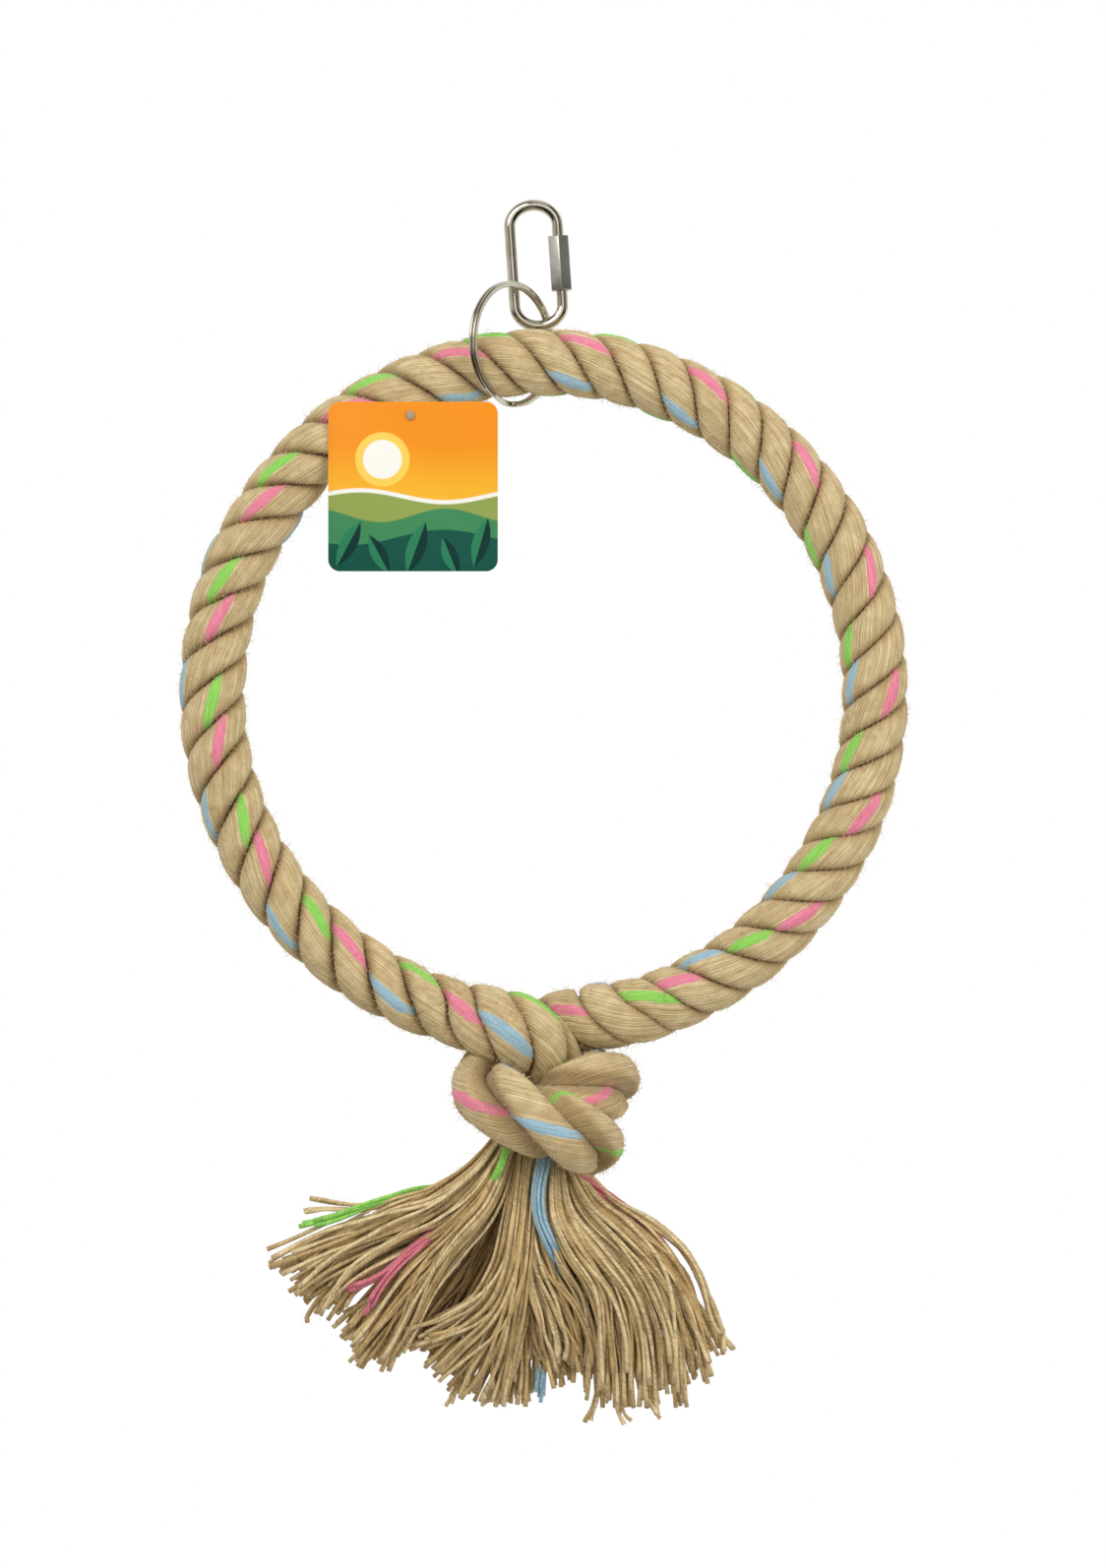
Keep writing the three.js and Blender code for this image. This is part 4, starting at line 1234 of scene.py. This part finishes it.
def bevel_corners(piece, radius):
    """Rounds the four edges that run through the card's thickness."""
    only(piece)
    bpy.ops.object.mode_set(mode="EDIT")
    bpy.ops.mesh.select_all(action="DESELECT")
    bpy.ops.mesh.select_mode(type="EDGE")
    bpy.ops.object.mode_set(mode="OBJECT")
    for edge in piece.data.edges:
        start, stop = (piece.data.vertices[index].co for index in edge.vertices)
        edge.select = abs(start.y - stop.y) > 0.5 * mm
    bpy.ops.object.mode_set(mode="EDIT")
    bpy.ops.mesh.bevel(offset=radius, segments=10)
    bpy.ops.object.mode_set(mode="OBJECT")


# Sun on the tag: middle across and up, and the radius of its disc and of the glow round it
tag_sun = (0.32, 0.66)
tag_sun_radius = 0.115
tag_glow_radius = 0.16
# Hills on the tag, from the back one forward: height, size, count and phase of the wave on top, and colour
tag_hills = [(0.455, 0.035, 1.0, 0.4, card_white), (0.43, 0.035, 1.0, 0.4, colour(146, 164, 82)),
             (0.33, 0.04, 1.3, 2.2, colour(64, 138, 88)), (0.2, 0.045, 0.9, 4.0, colour(16, 84, 70))]
# Leaves on the tag: middle across and up, half length and half width, all as shares of the tag's side, and
# the lean in degrees
tag_leaves = [(0.12, 0.16, 0.15, 0.05, 62), (0.3, 0.1, 0.13, 0.045, 118), (0.52, 0.14, 0.16, 0.055, 70),
              (0.72, 0.09, 0.12, 0.045, 112), (0.9, 0.17, 0.15, 0.05, 74)]


def tag_material(low, middle):
    """Printed card: a sun over green hills and leaves on the front, bare card on the edge and back."""
    material, tree, shader = new_material("printed_card")
    place = node(tree, "ShaderNodeTexCoord")
    spot = node(tree, "ShaderNodeSeparateXYZ", {0: place.outputs["Object"]})
    across = math_node(tree, "DIVIDE", math_node(tree, "SUBTRACT", spot.outputs[0], low[0]), tag_side)
    up = math_node(tree, "DIVIDE", math_node(tree, "SUBTRACT", spot.outputs[2], low[2]), tag_side)

    def wave(level, size, count, phase):
        ripple = math_node(tree, "SINE", math_node(tree, "MULTIPLY_ADD", across, count * full_turn, phase))
        return math_node(tree, "MULTIPLY_ADD", ripple, size, level)

    def below(edge):
        return range_node(tree, math_node(tree, "SUBTRACT", edge, up), -0.004, 0.004)

    def turned(x, y, lean):
        """Distances along and across a line through a point of the tag."""
        right = math_node(tree, "SUBTRACT", across, x)
        rise = math_node(tree, "SUBTRACT", up, y)
        cos, sin = math.cos(math.radians(lean)), math.sin(math.radians(lean))
        along = math_node(tree, "MULTIPLY_ADD", right, cos, math_node(tree, "MULTIPLY", rise, sin))
        return along, math_node(tree, "MULTIPLY_ADD", rise, cos, math_node(tree, "MULTIPLY", right, -sin))

    def disc(x, y, radius):
        along, beside = turned(x, y, 0)
        reach = math_node(tree, "SQRT", math_node(tree, "MULTIPLY_ADD", along, along,
                                                  math_node(tree, "MULTIPLY", beside, beside)))
        return range_node(tree, math_node(tree, "SUBTRACT", radius, reach), -0.004, 0.004)

    def leaf(x, y, half_length, half_width, lean):
        """A pointed leaf, and its lighter half beside the rib."""
        along, beside = turned(x, y, lean)
        share = math_node(tree, "DIVIDE", along, half_length)
        narrowed = math_node(tree, "MULTIPLY_ADD", math_node(tree, "MULTIPLY", share, share), -1.0, 1.0)
        edge = math_node(tree, "MULTIPLY", narrowed, half_width)
        within = math_node(tree, "SUBTRACT", edge, math_node(tree, "ABSOLUTE", beside))
        inside = range_node(tree, within, -0.003, 0.003)
        return inside, math_node(tree, "GREATER_THAN", beside, 0.0)

    glow = range_node(tree, up, 0.4, 0.8)
    base = mix_colour(tree, glow, sky_low, sky_high)
    base = mix_colour(tree, disc(*tag_sun, tag_glow_radius), base, sun_glow)
    base = mix_colour(tree, disc(*tag_sun, tag_sun_radius), base, card_white)
    for level, size, count, phase, ground in tag_hills:
        base = mix_colour(tree, below(wave(level, size, count, phase)), base, ground)
    for place_and_size in tag_leaves:
        inside, lit = leaf(*place_and_size)
        shade = mix_colour(tree, lit, leaf_dark, leaf_light)
        base = mix_colour(tree, inside, base, shade)
    facing = node(tree, "ShaderNodeSeparateXYZ", {0: place.outputs["Normal"]})
    rim = math_node(tree, "LESS_THAN", math_node(tree, "ABSOLUTE", facing.outputs[1]), 0.3)
    bare = math_node(tree, "MAXIMUM", rim, math_node(tree, "GREATER_THAN", spot.outputs[1], middle[1]))
    base = mix_colour(tree, bare, base, card_bare)
    grain = noise(tree, place.outputs["Object"], 900.0, 3.0)
    tree.links.new(base, shader.inputs["Base Color"])
    tree.links.new(range_node(tree, grain, 0.3, 0.7, 0.45, 0.58), shader.inputs["Roughness"])
    shader.inputs["Specular IOR Level"].default_value = 0.2
    bump = node(tree, "ShaderNodeBump", {"Strength": 0.05, "Distance": 0.05 * mm, "Height": grain})
    tree.links.new(bump.outputs[0], shader.inputs["Normal"])
    return material


def dress_solid(name, material):
    solid = frame["nodes"][name].data
    solid.materials.clear()
    solid.materials.append(material)


def make_pin():
    material, tree, shader = new_material("nylon_pin")
    place = node(tree, "ShaderNodeTexCoord")
    cloud = noise(tree, place.outputs["Object"], 700.0)
    tone = mix_colour(tree, cloud, nylon_dark, nylon_pale)
    tree.links.new(tone, shader.inputs["Base Color"])
    shader.inputs["Roughness"].default_value = 0.4
    dress_solid("tag_pin", material)


def ramp(tree, value, stops):
    """A level that follows a value from -1 to 1 through the given (value, level) stops."""
    place = node(tree, "ShaderNodeMapRange", {"Value": value, "From Min": -1.0, "From Max": 1.0})
    ramp_node = node(tree, "ShaderNodeValToRGB", {0: place.outputs[0]})
    points = ramp_node.color_ramp.elements
    while len(points) < len(stops):
        points.new(0.5)
    for point, (at, level) in zip(points, stops):
        point.position = (at + 1) / 2
        point.color = (level, level, level, 1)
    return ramp_node.outputs[0]


def make_world():
    """Soft room light. Metal sees the white behind it, and in front a dark room with a bright window."""
    world = bpy.data.worlds.new("studio")
    bpy.context.scene.world = world
    world.use_nodes = True
    tree = world.node_tree
    tree.nodes.clear()
    path = node(tree, "ShaderNodeLightPath")
    seen = math_node(tree, "MAXIMUM", path.outputs["Is Camera Ray"], path.outputs["Is Transmission Ray"])
    place = node(tree, "ShaderNodeTexCoord")
    toward = node(tree, "ShaderNodeSeparateXYZ", {0: place.outputs["Generated"]})
    level = range_node(tree, toward.outputs[1], *room_change, room_front, room_back)
    mirrored = math_node(tree, "MULTIPLY", ramp(tree, toward.outputs[0], window_across),
                         ramp(tree, toward.outputs[2], window_upright))
    mirrored = math_node(tree, "MULTIPLY", mirrored, window_level)
    behind = range_node(tree, toward.outputs[1], *back_edge)
    mirrored = math_node(tree, "MAXIMUM", mirrored, math_node(tree, "MULTIPLY", behind, back_mirrored))
    glossy = path.outputs["Is Glossy Ray"]
    matt = math_node(tree, "MULTIPLY", math_node(tree, "SUBTRACT", 1.0, glossy), level)
    level = math_node(tree, "MULTIPLY_ADD", glossy, mirrored, matt)
    white = node(tree, "ShaderNodeBackground", {"Color": (1, 1, 1, 1), "Strength": 1.0})
    soft = node(tree, "ShaderNodeBackground", {"Color": colour(*room_tint), "Strength": level})
    mixed = node(tree, "ShaderNodeMixShader", {0: seen, 1: soft.outputs[0], 2: white.outputs[0]})
    output = node(tree, "ShaderNodeOutputWorld")
    tree.links.new(mixed.outputs[0], output.inputs[0])


def add_lamp(name, place, aim, size, watts):
    lamp = bpy.data.lights.new(name, "AREA")
    lamp.shape = "DISK"
    lamp.size = size
    lamp.energy = watts
    holder = bpy.data.objects.new(name, lamp)
    bpy.context.scene.collection.objects.link(holder)
    holder.location = place
    holder.rotation_euler = (Vector(aim) - Vector(place)).to_track_quat("-Z", "Y").to_euler()
    return holder


def make_camera():
    camera = bpy.data.cameras.new("camera")
    x, z = photo_point(photo_width / 2, photo_height / 2)
    camera.sensor_width = sensor_long_side
    camera.lens = sensor_long_side * camera_distance / (photo_height * photo_scale)
    holder = bpy.data.objects.new("camera", camera)
    bpy.context.scene.collection.objects.link(holder)
    holder.location = (x, ring_centre[1] - camera_distance, z)
    holder.rotation_euler = (math.pi / 2, 0, 0)
    bpy.context.scene.camera = holder


make_camera()
make_world()
aim = tuple(ring_centre)
add_lamp("key", key_place, aim, lamp_size, key_watts)
add_lamp("fill", fill_place, aim, lamp_size, fill_watts).visible_glossy = False
make_rope()
make_tassel()
make_hardware()
make_tag()
make_pin()
bpy.context.scene.view_settings.view_transform = "Standard"
